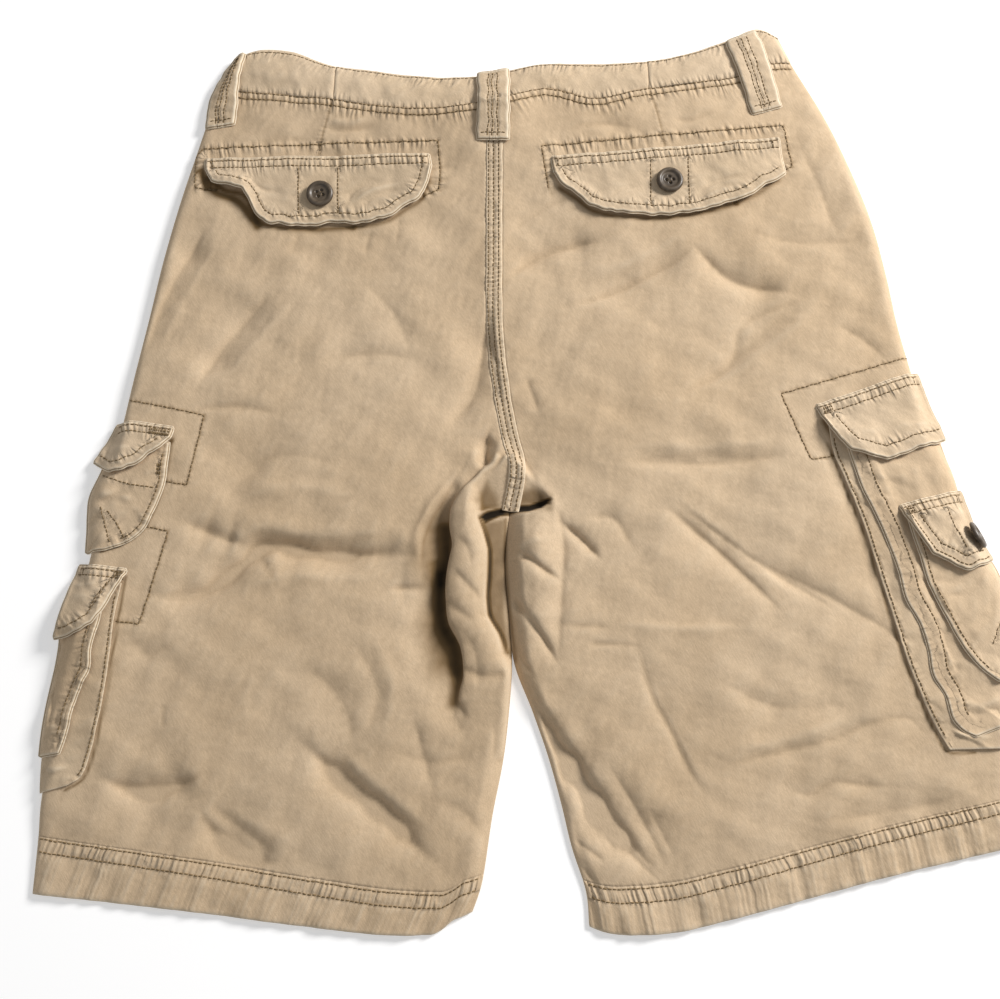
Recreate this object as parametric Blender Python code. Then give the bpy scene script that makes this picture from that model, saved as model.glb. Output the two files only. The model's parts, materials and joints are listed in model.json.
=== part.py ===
"""Cargo shorts lying flat on a surface, back side up.

The waist points to +Y, the hems to -Y, and +Z is up. The wearer's left leg is at -X.
The origin is the middle of the underside. Tables and sizes are in millimetres, and
MM turns them into Blender's metres when a mesh is made.

Every piece of cloth is a closed wall. The fronts are flat slabs on the floor. The backs
lie over them as puffed sheets with folds, and each later piece (seam strip, loops, flaps,
pockets, buttons) is laid on whatever is under it, a small gap away.
"""

import math

import bmesh
import bpy
import numpy as np
from mathutils import Vector
from mathutils.bvhtree import BVHTree

for thing in list(bpy.data.objects):
    bpy.data.objects.remove(thing, do_unlink=True)

MM = 0.001

# Cloth
CLOTH = 1.3          # one layer of washed twill
DOUBLE = 1.8         # two layers, as in the waistband, hems and flaps
GAP = 0.35           # air between two pieces that lie on each other
EDGE_GAP = 0.6       # and at the sides of a piece, where steps in the pile meet it
SEAM_GAP = 0.3       # half of the air between two panels at their seam
RIM = 0.6            # height of a panel's edge where it turns down to the front
HEM_DEPTH = 30.0
BAND_EDGE = 0.5      # height of the waistband's turned edge
SEAT_SEAM_WIDTH = 11.0
BUTTON_DIAMETER = 19.5
BUTTON_HEIGHT = 3.4

# How far the cloth takes to turn, rise or settle
SIDE_TURN = 9.0          # round the side fold, down to the front
INSEAM_TURN = 5.0        # round a leg's inner edge
INSEAM_RISE = 16.0       # from the inseam up to the puffed thigh
SEAT_REACH = 45.0        # from the seat seam to the puffed seat
WAIST_REACH = 60.0       # down from the curved waist seam
LIFT_REACH = 55.0        # down from the raised waist
HEM_REACH = 70.0         # up from the curved hem
BAND_BULGE = 2.0
BAND_STEP = 0.4          # the waistband stands this much above the panel below it

# Heights that follow from the cloth
FRONT_TOP = CLOTH
BACK_INSIDE = FRONT_TOP + GAP
PANEL_RIM = BACK_INSIDE + RIM
BACK_LOWEST = BACK_INSIDE + CLOTH
BAND_INSIDE = DOUBLE + GAP
BAND_RIM = BAND_INSIDE + BAND_EDGE

# The waist seam, from the wearer's left to right: place and height of the cloth's outside
WAIST_SEAM = [
    # x, y, z
    (-229, 273, 5), (-212, 269, 7), (-180, 265, 9), (-148, 261, 11), (-118, 256, 12),
    (-89, 252, 13), (-60, 252, 14), (-38, 254, 15), (-13, 259, 15), (13, 267, 14),
    (45, 260, 13), (85, 268, 12), (120, 274, 11), (154, 280, 9), (179, 291, 7), (195, 294, 5),
]

# The waistband's top edge above each point of the waist seam
WAIST_TOP = [
    # x, y, z
    (-216, 298, 4), (-204, 303, 5), (-176, 302, 6), (-147, 291, 6), (-119, 287, 6),
    (-91, 283, 6), (-62, 281, 6), (-38, 282, 6), (-13, 287, 6), (10, 292, 6),
    (42, 292, 6), (85, 294, 6), (117, 300, 6), (148, 311, 6), (172, 321, 5), (186, 315, 4),
]

# Stations down each back panel. inner is the seat seam and then the inseam, outer is the
# side fold. inner_z is the height at the seat seam, crown the height of the puffed cloth,
# and leg goes from 0 at the seat to 1 where the inner edge is the leg's own edge.
LEFT_STATIONS = [
    # name, inner_x, inner_y, outer_x, outer_y, inner_z, crown, leg
    ("waist seam", -26, 256, -229, 273, 15, 11, 0),
    ("yoke", -25, 219, -242, 223, 12, 10, 0),
    ("pocket", -25, 180, -252, 184, 11, 9, 0),
    ("high seat", -25, 135, -262, 138, 10, 9, 0),
    ("seat", -25, 90, -270, 92, 9, 9, 0),
    ("low seat", -21, 46, -278, 48, 8.5, 9.5, 0),
    ("fork top", -15, 10, -284, 12, 7, 10, 0),
    ("fork bend", -9, -17, -289, -17, 5.5, 10, 0.1),
    ("crotch", -14, -46, -294, -47, 4, 10, 0.7),
    ("high thigh", -18, -80, -300, -80, 4, 10, 1),
    ("thigh", -17, -114, -305, -113, 4, 10, 1),
    ("gap", -15, -147, -311, -144, 4, 10, 1),
    ("low thigh", -15, -180, -315, -177, 4, 9, 1),
    ("knee", -19, -213, -318, -210, 4, 8.5, 1),
    ("above hem", -26, -248, -321, -240, 4, 7.5, 1),
    ("hem fold", -33, -291, -321, -267, 4, 5.5, 1),
    ("hem edge", -38, -303, -322, -297, 4, 4.4, 1),
]
RIGHT_STATIONS = [
    # name, inner_x, inner_y, outer_x, outer_y, inner_z, crown, leg
    ("waist seam", -26, 256, 195, 294, 15, 11, 0),
    ("yoke", -25, 219, 217, 251, 12, 10, 0),
    ("pocket", -25, 180, 233, 211, 11, 9, 0),
    ("high seat", -25, 135, 247, 167, 10, 9, 0),
    ("seat", -25, 90, 255, 126, 9, 9, 0),
    ("low seat", -21, 46, 261, 85, 8.5, 9.5, 0),
    ("fork top", -15, 10, 270, 42, 7, 10, 0),
    ("fork bend", -9, -17, 277, 4, 5.5, 10, 0.1),
    ("crotch", -14, -46, 284, -31, 4, 10, 0.7),
    ("high thigh", -16, -80, 293, -66, 4, 10, 1),
    ("thigh", -14, -114, 300, -100, 4, 10, 1),
    ("gap", -9, -152, 306, -134, 4, 10, 1),
    ("low thigh", 1, -182, 310, -161, 4, 9.5, 1),
    ("knee", 11, -211, 312, -184, 4, 9, 1),
    ("low", 19, -240, 313, -205, 4, 8.5, 1),
    ("above hem", 26, -269, 312, -224, 4, 7.5, 1),
    ("hem fold", 34, -295, 312, -242, 4, 5.5, 1),
    ("hem edge", 32, -316, 311, -268, 4, 4.4, 1),
]

# The hems' lower edges, from the inseam to the side
LEFT_HEM = [
    # x, y
    (-38, -303), (-50, -313), (-66, -321), (-90, -322), (-145, -317), (-210, -309),
    (-274, -302), (-322, -297),
]
RIGHT_HEM = [
    # x, y
    (32, -316), (46, -320), (70, -321), (94, -320), (126, -313), (158, -305),
    (223, -288), (289, -273), (311, -268),
]

# Largest folds: half-width and height (a trough is below zero), then the line they follow
LEFT_FOLDS = [
    # name, half_width, height, points
    ("thigh fold", 11, -6.0, [(-260, -105), (-223, -101), (-177, -70), (-136, -75), (-75, -77)]),
    ("roll shadow", 11, -7.0, [(-51, -22), (-69, -55), (-70, -84), (-57, -107), (-48, -150)]),
    ("crotch roll", 13, 7.0, [(-30, -18), (-43, -53), (-41, -107), (-35, -140), (-28, -187)]),
    ("side of knee", 12, -4.5, [(-279, -226), (-251, -234), (-217, -224)]),
    ("low fold", 12, -4.0, [(-212, -240), (-185, -259), (-163, -276)]),
    ("middle fold", 12, -5.0, [(-148, -205), (-126, -224), (-94, -247), (-68, -272)]),
    ("seat pull", 13, -4.0, [(-26, 97), (-35, 62), (-49, 23), (-60, 8)]),
    ("hip pull", 14, -3.5, [(-182, 112), (-218, 67), (-231, 42)]),
    ("side pull", 13, -3.5, [(-232, 162), (-254, 116), (-278, 47)]),
    ("hollow of the hip", 26, -3.5, [(-215, 10), (-180, -25)]),
    ("short fold", 12, -3.0, [(-226, -57), (-198, -66)]),
]
RIGHT_FOLDS = [
    # name, half_width, height, points
    ("long fold", 12, -7.0, [(-3, -169), (18, -208), (44, -238), (69, -272), (84, -286)]),
    ("second fold", 11, -4.0, [(28, -228), (46, -268)]),
    ("inner roll", 14, 4.5, [(12, -34), (3, -66), (4, -107), (8, -148)]),
    ("crotch hollow", 13, -6.0, [(14, -38), (-4, -44)]),
    ("high drag", 12, -5.0, [(93, -44), (128, -75), (167, -116)]),
    ("low drag", 12, -4.5, [(102, -44), (150, -78), (203, -112)]),
    ("thigh fold", 12, -4.5, [(73, -139), (89, -179), (110, -217)]),
    ("seat pull", 13, -4.0, [(113, 147), (88, 127), (31, 101)]),
    ("short pull", 12, -3.5, [(-16, 121), (3, 137), (51, 152)]),
    ("hip pull", 14, -3.5, [(182, 97), (143, 62), (109, 38)]),
    ("side pull", 13, -3.0, [(117, 147), (145, 121), (183, 112)]),
    ("across", 13, -2.5, [(62, -10), (177, -8)]),
    ("side of knee", 13, -4.0, [(123, -213), (175, -230), (219, -226)]),
]

# Belt loops: the two sides of each from top to bottom, and how far the loop stands off
BELT_LOOPS = {
    # name, left_x, left_y, right_x, right_y, lift
    "centre": [
        ("top", -38, 281, -13.5, 285, 0.1), ("upper", -37.5, 268, -14, 269, 1.3),
        ("seam", -37.5, 254, -14, 255, 1.6), ("lower", -37.8, 240, -13.8, 240, 1.0),
        ("bottom", -38.5, 226, -13.5, 226, 0.1),
    ],
    "left": [
        ("top", -218, 296, -210, 299, 0.1), ("shoulder", -225, 285, -212, 285, 0.6),
        ("upper", -231, 272, -213.5, 272, 1.2), ("seam", -234.5, 262, -214, 262, 1.2),
        ("lower", -236, 251, -214, 252, 0.8), ("bottom", -236.5, 240, -214.5, 243, 0.1),
    ],
    "right": [
        ("top", 146, 307, 170, 317, 0.1), ("upper", 151, 290, 175, 301, 1.2),
        ("seam", 155.5, 277, 179, 285, 1.5), ("lower", 159.5, 263, 183, 270, 1.0),
        ("bottom", 163, 250, 186, 257, 0.1),
    ],
}

# Flaps from one end to the other: sewn top edge, free lower edge, and the free edge's lift
FLAPS = {
    # name, top_x, top_y, bottom_x, bottom_y, lift
    "back_pocket_flap_left": [
        ("side end", -234, 213, -233.5, 204, 1.5), ("curl", -222, 213, -223, 193, 5),
        ("curl end", -205, 213, -205, 188, 5), ("corner", -190, 213.5, -192, 167, 3),
        ("slope", -170, 214, -172, 162, 2), ("button", -150, 214, -150, 162, 1.5),
        ("inner slope", -130, 214, -128, 163, 1.5), ("inner corner", -110, 215, -108, 166, 2),
        ("tip", -92, 215, -93, 174, 2.5), ("low tip", -80, 215, -79, 183, 2),
        ("seat end", -73, 215, -72, 204, 1),
    ],
    "back_pocket_flap_right": [
        ("seat end", 17, 213, 19, 200, 1), ("low tip", 30, 214.5, 31, 187, 2),
        ("tip", 44, 216, 46, 175, 2.5), ("inner corner", 60, 217, 61, 171, 2.5),
        ("inner slope", 80, 219, 80, 169.5, 2), ("button", 101, 221, 101, 170.5, 1.5),
        ("slope", 121, 223, 120, 173, 2), ("corner", 140, 225, 140, 178.5, 2.5),
        ("outer tip", 158, 227, 160, 186, 3), ("outer low tip", 171, 228, 172, 195, 2),
        ("side end", 181, 229, 184, 202, 1),
    ],
    "cargo_right_flap": [
        ("inner end", 199, 27, 204, 17, 1.5), ("inner corner", 208, 30, 215, 0, 2),
        ("inner middle", 220, 34, 228, -7, 2), ("middle", 235, 39, 243, -11, 2),
        ("outer middle", 250, 44, 258, -7, 1.5), ("over the side", 262, 48.5, 271, -2, 1.5),
        ("side end", 271, 51, 285.5, 4, 1),
    ],
    "cargo_right_small_flap": [
        ("inner end", 251, -45, 253, -55, 1), ("inner corner", 258, -43, 262, -70, 2),
        ("inner middle", 267, -40.5, 272, -81, 2), ("middle", 277, -38, 287, -89, 1.5),
        ("over the side", 286, -35.5, 299, -86, 1), ("side end", 294, -34, 308.8, -80.8, 0.6),
    ],
    "cargo_left_upper_flap": [
        ("side end", -286.5, 14, -300.5, -12, 1), ("over the side", -276, 15, -288, -19.5, 1.5),
        ("middle", -266, 14, -272, -15, 2), ("inner middle", -256, 12.5, -259, -6, 1.5),
        ("inner end", -247, 11, -248.5, 3, 0.8),
    ],
    "cargo_left_lower_flap": [
        ("side end", -306.5, -84, -318, -133, 1), ("over the side", -297, -85, -303, -129, 1.5),
        ("middle", -289, -86, -292, -122, 2), ("inner middle", -281, -87, -283, -108, 1.5),
        ("inner end", -273, -88, -275.5, -94, 0.8),
    ],
}

# Cargo pockets from top to bottom: the edge on the back panel, and the edge at the side
POUCHES = {
    # name, inner_x, inner_y, side_x, side_y, height
    "cargo_right_gusset": [
        ("under flap", 206, 12, 236, 12, 9), ("top", 209, -8, 236, -14, 9.5),
        ("upper", 220, -37, 246, -40, 10), ("middle", 227, -60, 254, -66, 10),
        ("lower", 237, -99, 264, -106, 10), ("low", 247, -140, 276, -146, 10),
        ("curve", 258, -174, 292, -176, 9), ("corner", 266, -193, 310, -190, 8),
        ("bottom", 273, -206, 314.5, -205, 5),
    ],
    "cargo_right_pocket": [
        ("under flap", 216, 6, 281, 16, 9), ("below flap", 220, -8, 287, -8, 12),
        ("upper", 228, -34, 297, -36, 13), ("small flap", 236, -53, 296, -57.5, 13),
        ("middle", 244, -78, 311, -80, 13), ("wave", 251, -106, 315, -106, 13),
        ("low", 262, -136, 318, -132, 13), ("lower", 268, -160, 320, -158, 12.5),
        ("corner", 275, -183, 320, -180, 12), ("bottom", 290, -196, 317, -193, 9),
    ],
    "cargo_right_small_pocket": [
        ("under flap", 254, -48, 297.5, -47.5, 12), ("side button", 258, -62, 300.8, -63.5, 15),
        ("below button", 262, -78, 308.5, -76.5, 15.3), ("upper", 266, -95, 317.5, -92, 15.5), ("middle", 274, -114, 320, -112, 15.5),
        ("lower", 283, -133, 322, -130, 15), ("bottom", 297, -153, 323, -148, 14),
        ("corner", 307, -161, 323, -158, 12),
    ],
    "cargo_left_upper_pocket": [
        ("under flap", -249, 0, -291, -4, 9), ("top", -250, -12, -296, -18, 11),
        ("upper", -252, -31, -303, -36, 11.5), ("middle", -258, -48, -303.5, -48, 11.5),
        ("lower", -264, -60, -303, -60, 11), ("corner", -274, -68, -303, -68, 10),
        ("bottom", -288, -73, -303, -74, 7),
    ],
    "cargo_left_lower_gusset": [
        ("under flap", -275, -97, -309, -97, 9), ("top", -278, -113, -312, -112, 9.5),
        ("upper", -280, -141, -314, -140, 9.5), ("middle", -282, -165, -316.5, -164, 9.5),
        ("lower", -285, -188, -320, -188, 9), ("low", -289, -208, -322.5, -210, 8),
        ("corner", -295, -224, -322.5, -224, 7), ("bottom", -303, -229, -322, -234, 5),
    ],
    "cargo_left_lower_pocket": [
        ("under flap", -286, -106, -311.5, -104, 9), ("top", -289, -123, -315.5, -122, 11),
        ("upper", -292, -140, -315.5, -140, 11), ("middle", -295, -160, -318, -159, 11),
        ("lower", -302, -178, -321.5, -178, 11), ("low", -305, -196, -323, -196, 10.5),
        ("bottom", -309, -208, -323.5, -210, 8),
    ],
}

# Buttons: place, and the flap that each is sewn to
BUTTONS = {
    "button_back_left": (-150, 184),
    "button_back_right": (101, 195),
    "button_cargo_right": (299.6, -65.2),
}

# The cargo button is sewn where the pocket turns down at the side, so it stands nearly on edge.
# The layers under it slope with it: a straight slope past its middle, and free of it further off.
SIDE_BUTTON = "button_cargo_right"
SIDE_WAY = (0.893, 0.449)      # the way the slope falls, away from the garment
SIDE_HEIGHT = 5.9              # of the slope at the middle of the button
SIDE_FALL = 1.85               # mm down for each mm outward
SIDE_REACH = (13.0, 11.0)      # how far the slope runs beside the button, and takes to end
UNDER_BUTTON = {"cargo_right_pocket": 8.5, "cargo_right_small_pocket": 6.2}

# Columns across a panel: distances from its inner and outer edge, and how many between
INNER_COLUMNS = (0, 2, 5, 9, 14, 21, 30)
OUTER_COLUMNS = (24, 15, 8.5, 4, 1.2, 0)
MIDDLE_COLUMNS = 11
PANEL_ROWS = 37
HEM_ROWS = 3
FRONT_ROWS = 16
FRONT_COLUMNS = 6
FACET_TESTS = 6      # places tested along each side of a facet that lies on others
FACET_ROUNDS = 8

# Colours
TWILL = (0.46, 0.33, 0.20)
TWILL_DARK = (0.42, 0.30, 0.18)
TWILL_PALE = (0.52, 0.39, 0.25)
SEAM_TAN = (0.38, 0.27, 0.15)
BUTTON_BROWN = (0.12, 0.09, 0.06)


def smooth(knots, values, at):
    """Read a smooth curve through a table's rows."""
    knots = np.asarray(knots, float)
    values = np.asarray(values, float)
    at = np.clip(np.asarray(at, float), knots[0], knots[-1])
    slopes = np.gradient(values, knots, axis=0)
    low = np.clip(np.searchsorted(knots, at, side="right") - 1, 0, len(knots) - 2)
    span = knots[low + 1] - knots[low]
    t = (at - knots[low]) / span
    if values.ndim > 1:
        t = t[..., None]
        span = span[..., None]
    rise = values[low + 1] - values[low]
    start = slopes[low] * span
    finish = slopes[low + 1] * span
    return values[low] + t * start + t * t * (3 * rise - 2 * start - finish) \
        + t * t * t * (start + finish - 2 * rise)


def travel(points):
    """Distance along a row of points, from the first."""
    points = np.asarray(points, float)
    steps = np.linalg.norm(np.diff(points, axis=0), axis=1)
    return np.concatenate([[0.0], np.cumsum(steps)])


def quarter(t):
    """Quarter ellipse from 0 at an edge to 1 where the cloth has turned level."""
    t = np.clip(t, 0.0, 1.0)
    return np.sqrt(1.0 - (1.0 - t) ** 2)


def ease(t):
    t = np.clip(t, 0.0, 1.0)
    return t * t * (3.0 - 2.0 * t)


def fold_height(folds, x, y):
    """Sum of all folds at each point: soft ridges and troughs that fade at their ends."""
    total = np.zeros_like(x)
    for _name, half_width, height, points in folds:
        knots = travel(points)
        line = smooth(knots, points, np.linspace(0.0, knots[-1], 4 * len(points)))
        start = line[:-1]
        step = line[1:] - start
        place = np.stack([x, y], axis=-1)[..., None, :]
        part = np.clip(((place - start) * step).sum(-1) / (step * step).sum(-1), 0.0, 1.0)
        away = np.linalg.norm(place - start - part[..., None] * step, axis=-1)
        nearest = away.argmin(-1)
        distance = np.take_along_axis(away, nearest[..., None], -1)[..., 0]
        along = (nearest + np.take_along_axis(part, nearest[..., None], -1)[..., 0]) / len(step)
        fade = 0.35 + 0.65 * ease(4.0 * np.minimum(along, 1.0 - along))
        total = total + height * fade * np.exp(-(distance / half_width) ** 2)
    return total


class Back:
    """One back panel: where each point of its outside lies, from the waist seam to the hem."""

    def __init__(self, stations, hem, folds):
        self.folds = folds
        self.values = np.array([row[1:] for row in stations], float)
        inner = travel(self.values[:, 0:2])
        outer = travel(self.values[:, 2:4])
        self.knots = (inner + outer) / 2.0
        self.length = self.knots[-1]
        self.waist = self.bow(self.values[0], WAIST_SEAM)
        self.hem = self.bow(self.values[-1], hem)

    @staticmethod
    def bow(ends, edge):
        """How far a curved edge leaves the straight line between its ends, for u from 0 to 1."""
        edge = np.array(edge, float)
        edge = edge[np.argsort(edge[:, 0])]
        u = np.linspace(0.0, 1.0, 41)
        x = ends[0] + (ends[2] - ends[0]) * u
        straight = ends[1] + (ends[3] - ends[1]) * u
        off = smooth(edge[:, 0], edge[:, 1], x) - straight
        off[0] = 0.0
        off[-1] = 0.0
        return u, off

    def columns(self, width):
        """Distances from the inner edge, close together near both edges."""
        inner = np.array(INNER_COLUMNS, float)
        outer = width - np.array(OUTER_COLUMNS, float)
        middle = np.linspace(inner[-1], outer[0], MIDDLE_COLUMNS + 2)[1:-1]
        return np.concatenate([inner, middle, outer])

    def few_columns(self, width):
        """Distances from the inner edge for a flat front."""
        return np.linspace(0.0, width, FRONT_COLUMNS + 1)

    def outside(self, down, column_of=None):
        """Points of the outer surface on the rows at the distances down from the waist."""
        column_of = column_of or self.columns
        rows = smooth(self.knots, self.values, down)
        grid = []
        for distance_down, row in zip(down, rows):
            inner, outer = row[0:2], row[2:4]
            inner_z, crown, leg = row[4:7]
            width = np.linalg.norm(outer - inner)
            across = column_of(width)
            u = across / width
            x = inner[0] + (outer[0] - inner[0]) * u
            y = inner[1] + (outer[1] - inner[1]) * u
            to_hem = self.length - distance_down
            y = y + np.interp(u, *self.waist) * math.exp(-(distance_down / WAIST_REACH) ** 2)
            y = y + np.interp(u, *self.hem) * math.exp(-(to_hem / HEM_REACH) ** 2)
            thigh = PANEL_RIM + (crown - PANEL_RIM) * ease(across / INSEAM_RISE + 0.25)
            seat = crown + (inner_z - crown) * np.exp(-(across / SEAT_REACH) ** 2)
            z = seat + (thigh - seat) * leg
            z = z + self.waist_lift(x) * math.exp(-(distance_down / LIFT_REACH) ** 2)
            clear_of_side = ease((width - across) / (2.8 * SIDE_TURN))
            clear_of_inseam = 1.0 - leg * (1.0 - ease(across / (2.4 * INSEAM_TURN)))
            z = z + fold_height(self.folds, x, y) * clear_of_side * clear_of_inseam
            z = np.maximum(z, BACK_LOWEST)
            inner_turn = 1.0 + (quarter(across / INSEAM_TURN) - 1.0) * ease(leg)
            side_turn = quarter((width - across) / SIDE_TURN)
            z = PANEL_RIM + (z - PANEL_RIM) * inner_turn * side_turn
            grid.append(np.stack([x, y, z], axis=-1))
        return np.array(grid)

    def waist_lift(self, x):
        """How much lower or higher the waist seam is than the crown beside it."""
        seam = np.array(WAIST_SEAM, float)
        return smooth(seam[:, 0], seam[:, 2], x) - self.values[0, 5]


def normals(grid):
    """Upward unit normals of a grid of points."""
    across = np.gradient(grid, axis=1)
    along = np.gradient(grid, axis=0)
    normal = np.cross(across, along)
    normal /= np.maximum(np.linalg.norm(normal, axis=-1, keepdims=True), 1e-9)
    return normal * np.where(normal[..., 2:3] < 0, -1.0, 1.0)


def under(outer, thickness):
    """The inside of a wall: its outside moved down its normals, straight down at the edges."""
    inner = outer - normals(outer) * thickness
    for edge in (np.s_[0, :], np.s_[-1, :], np.s_[:, 0], np.s_[:, -1]):
        inner[edge][..., :2] = outer[edge][..., :2]
    return inner


laid = {"points": [], "faces": []}


def add_to_ground(points, faces):
    """Remember a piece, so that later pieces can lie on it."""
    offset = len(laid["points"])
    laid["points"].extend(points)
    laid["faces"].extend([tuple(index + offset for index in face) for face in faces])
    laid["tree"] = BVHTree.FromPolygons(laid["points"], laid["faces"])


def ground(x, y):
    """Height of whatever lies highest at a point, or the floor."""
    down = Vector((0.0, 0.0, -1.0))
    flat = []
    for px, py in zip(np.ravel(x), np.ravel(y)):
        hit = laid["tree"].ray_cast(Vector((float(px), float(py), 100.0)), down)[0]
        flat.append(hit.z if hit is not None else 0.0)
    return np.array(flat).reshape(np.shape(x))


def on_facet(grid, corners, weights):
    """Values at one place inside every facet of a grid."""
    return sum(weight * grid[corner] for weight, corner in zip(weights, corners))


def resting_height(x, y, gap):
    """Lowest heights at which a faceted grid clears everything under it by the gap."""
    gap = np.full(np.shape(x), gap)
    gap[[0, -1], :] = EDGE_GAP
    gap[:, [0, -1]] = EDGE_GAP
    z = ground(x, y) + gap
    corners = (np.s_[:-1, :-1], np.s_[1:, :-1], np.s_[:-1, 1:], np.s_[1:, 1:])
    tests = []
    for a in np.linspace(0.0, 1.0, FACET_TESTS):
        for b in np.linspace(0.0, 1.0, FACET_TESTS):
            weights = (1.0 - a, a - b, 0.0, b) if a >= b else (1.0 - b, 0.0, b - a, a)
            at_x, at_y, at_gap = (on_facet(grid, corners, weights) for grid in (x, y, gap))
            tests.append((weights, ground(at_x, at_y) + at_gap))
    for _ in range(FACET_ROUNDS):
        for weights, needed in tests:
            for corner in corners:
                short = np.maximum(needed - on_facet(z, corners, weights), 0.0)
                z[corner] += np.clip(needed - z[corner], 0.0, 1.5 * short)
    return z


def material(name, colour, roughness=0.9):
    made = bpy.data.materials.new(name)
    made.use_nodes = True
    shader = made.node_tree.nodes["Principled BSDF"]
    shader.inputs["Base Color"].default_value = (*colour, 1.0)
    shader.inputs["Roughness"].default_value = roughness
    shader.inputs["Metallic"].default_value = 0.0
    return made


def solid(name, points, faces, colour, roughness=0.9):
    """Make one closed body, and put it under what is laid later."""
    mesh = bpy.data.meshes.new(name)
    mesh.from_pydata([tuple(float(v) * MM for v in point) for point in points], [], faces)
    work = bmesh.new()
    work.from_mesh(mesh)
    bmesh.ops.recalc_face_normals(work, faces=work.faces)
    work.to_mesh(mesh)
    work.free()
    mesh.shade_smooth()
    mesh.set_sharp_from_angle(angle=math.radians(40.0))
    body = bpy.data.objects.new(name, mesh)
    body.data.materials.append(material(name, colour, roughness))
    bpy.context.scene.collection.objects.link(body)
    add_to_ground([tuple(float(v) for v in point) for point in points], faces)
    return body


def wall(name, outer, inner, colour):
    """Close two matching grids of points into one wall."""
    rows, columns = outer.shape[:2]
    points = list(outer.reshape(-1, 3)) + list(inner.reshape(-1, 3))
    below = rows * columns
    faces = []
    for i in range(rows - 1):
        for j in range(columns - 1):
            a = i * columns + j
            b, c, d = a + columns, a + columns + 1, a + 1
            faces += [(a, b, c), (a, c, d)]
            faces += [(below + a, below + c, below + b), (below + a, below + d, below + c)]
    ring = [(0, j) for j in range(columns)]
    ring += [(i, columns - 1) for i in range(1, rows)]
    ring += [(rows - 1, j) for j in range(columns - 2, -1, -1)]
    ring += [(i, 0) for i in range(rows - 2, 0, -1)]
    for (i, j), (k, m) in zip(ring, ring[1:] + ring[:1]):
        a, b = i * columns + j, k * columns + m
        faces += [(a, b, below + b), (a, below + b, below + a)]
    return solid(name, points, faces, colour)


def sheet(name, outer, thickness, lowest, colour):
    """A wall of even thickness under a grid, which never goes below a height."""
    inner = under(outer, thickness)
    inner[..., 2] = np.maximum(inner[..., 2], lowest)
    inner[..., 2] = np.minimum(inner[..., 2], outer[..., 2] - RIM * 0.9)
    return wall(name, outer, inner, colour)


def slab(name, grid, thickness):
    """A flat piece that rests on the floor."""
    top = grid.copy()
    top[..., 2] = thickness
    floor = grid.copy()
    floor[..., 2] = 0.0
    return wall(name, top, floor, TWILL_DARK)


def moved_in(grid, left, right, start=0.0, finish=0.0):
    """The same grid with its four edges drawn in by small distances."""
    grid = grid.copy()
    for edge, beside, distance in ((0, 1, left), (-1, -2, right)):
        step = grid[:, beside, :2] - grid[:, edge, :2]
        step /= np.linalg.norm(step, axis=-1, keepdims=True)
        grid[:, edge, :2] += step * distance
    for edge, beside, distance in ((0, 1, start), (-1, -2, finish)):
        step = grid[beside, :, :2] - grid[edge, :, :2]
        step /= np.linalg.norm(step, axis=-1, keepdims=True)
        grid[edge, :, :2] += step * distance
    return grid


def lay(name, x, y, thickness, rise, colour, top=None):
    """Lay a wall on what is there. rise lifts it off, and top gives a pouch its own height."""
    rest = resting_height(x, y, GAP)
    height = rest + thickness + rise
    if top is not None:
        height = np.maximum(height, top)
    outer = np.dstack([x, y, height])
    inner = under(outer, thickness)
    inner[..., 2] = np.maximum(inner[..., 2], resting_height(inner[..., 0], inner[..., 1], GAP))
    outer[..., 2] = np.maximum(outer[..., 2], inner[..., 2] + thickness * 0.6)
    return wall(name, outer, inner, colour)


def between(table, along, across):
    """Grid between two edges: each row of the table joins a point of one to a point of the other."""
    values = np.array([row[1:] for row in table], float)
    knots = (travel(values[:, 0:2]) + travel(values[:, 2:4])) / 2.0
    rows = smooth(knots, values, np.linspace(0.0, knots[-1], along))
    across = np.asarray(across, float)
    x = rows[:, 0:1] + (rows[:, 2:3] - rows[:, 0:1]) * across
    y = rows[:, 1:2] + (rows[:, 3:4] - rows[:, 1:2]) * across
    return x, y, rows


def tilt_at(x, y, reach):
    """Average upward direction of the surface round a point."""
    down = Vector((0.0, 0.0, -1.0))
    total = Vector((0.0, 0.0, 0.0))
    for step in range(12):
        angle = math.tau * step / 12
        start = Vector((x + reach * math.cos(angle), y + reach * math.sin(angle), 100.0))
        hit, normal = laid["tree"].ray_cast(start, down)[:2]
        if hit is not None:
            total += normal if normal.z > 0 else -normal
    return total.normalized()


def side_slope(x, y):
    """Height of the slope under the side button, far above everything where it has ended."""
    across = x - BUTTONS[SIDE_BUTTON][0]
    down = y - BUTTONS[SIDE_BUTTON][1]
    outward = across * SIDE_WAY[0] + down * SIDE_WAY[1]
    beside = np.abs(across * SIDE_WAY[1] - down * SIDE_WAY[0])
    ended = ease((beside - SIDE_REACH[0]) / SIDE_REACH[1])
    return SIDE_HEIGHT - SIDE_FALL * outward + 40.0 * ended


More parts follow.
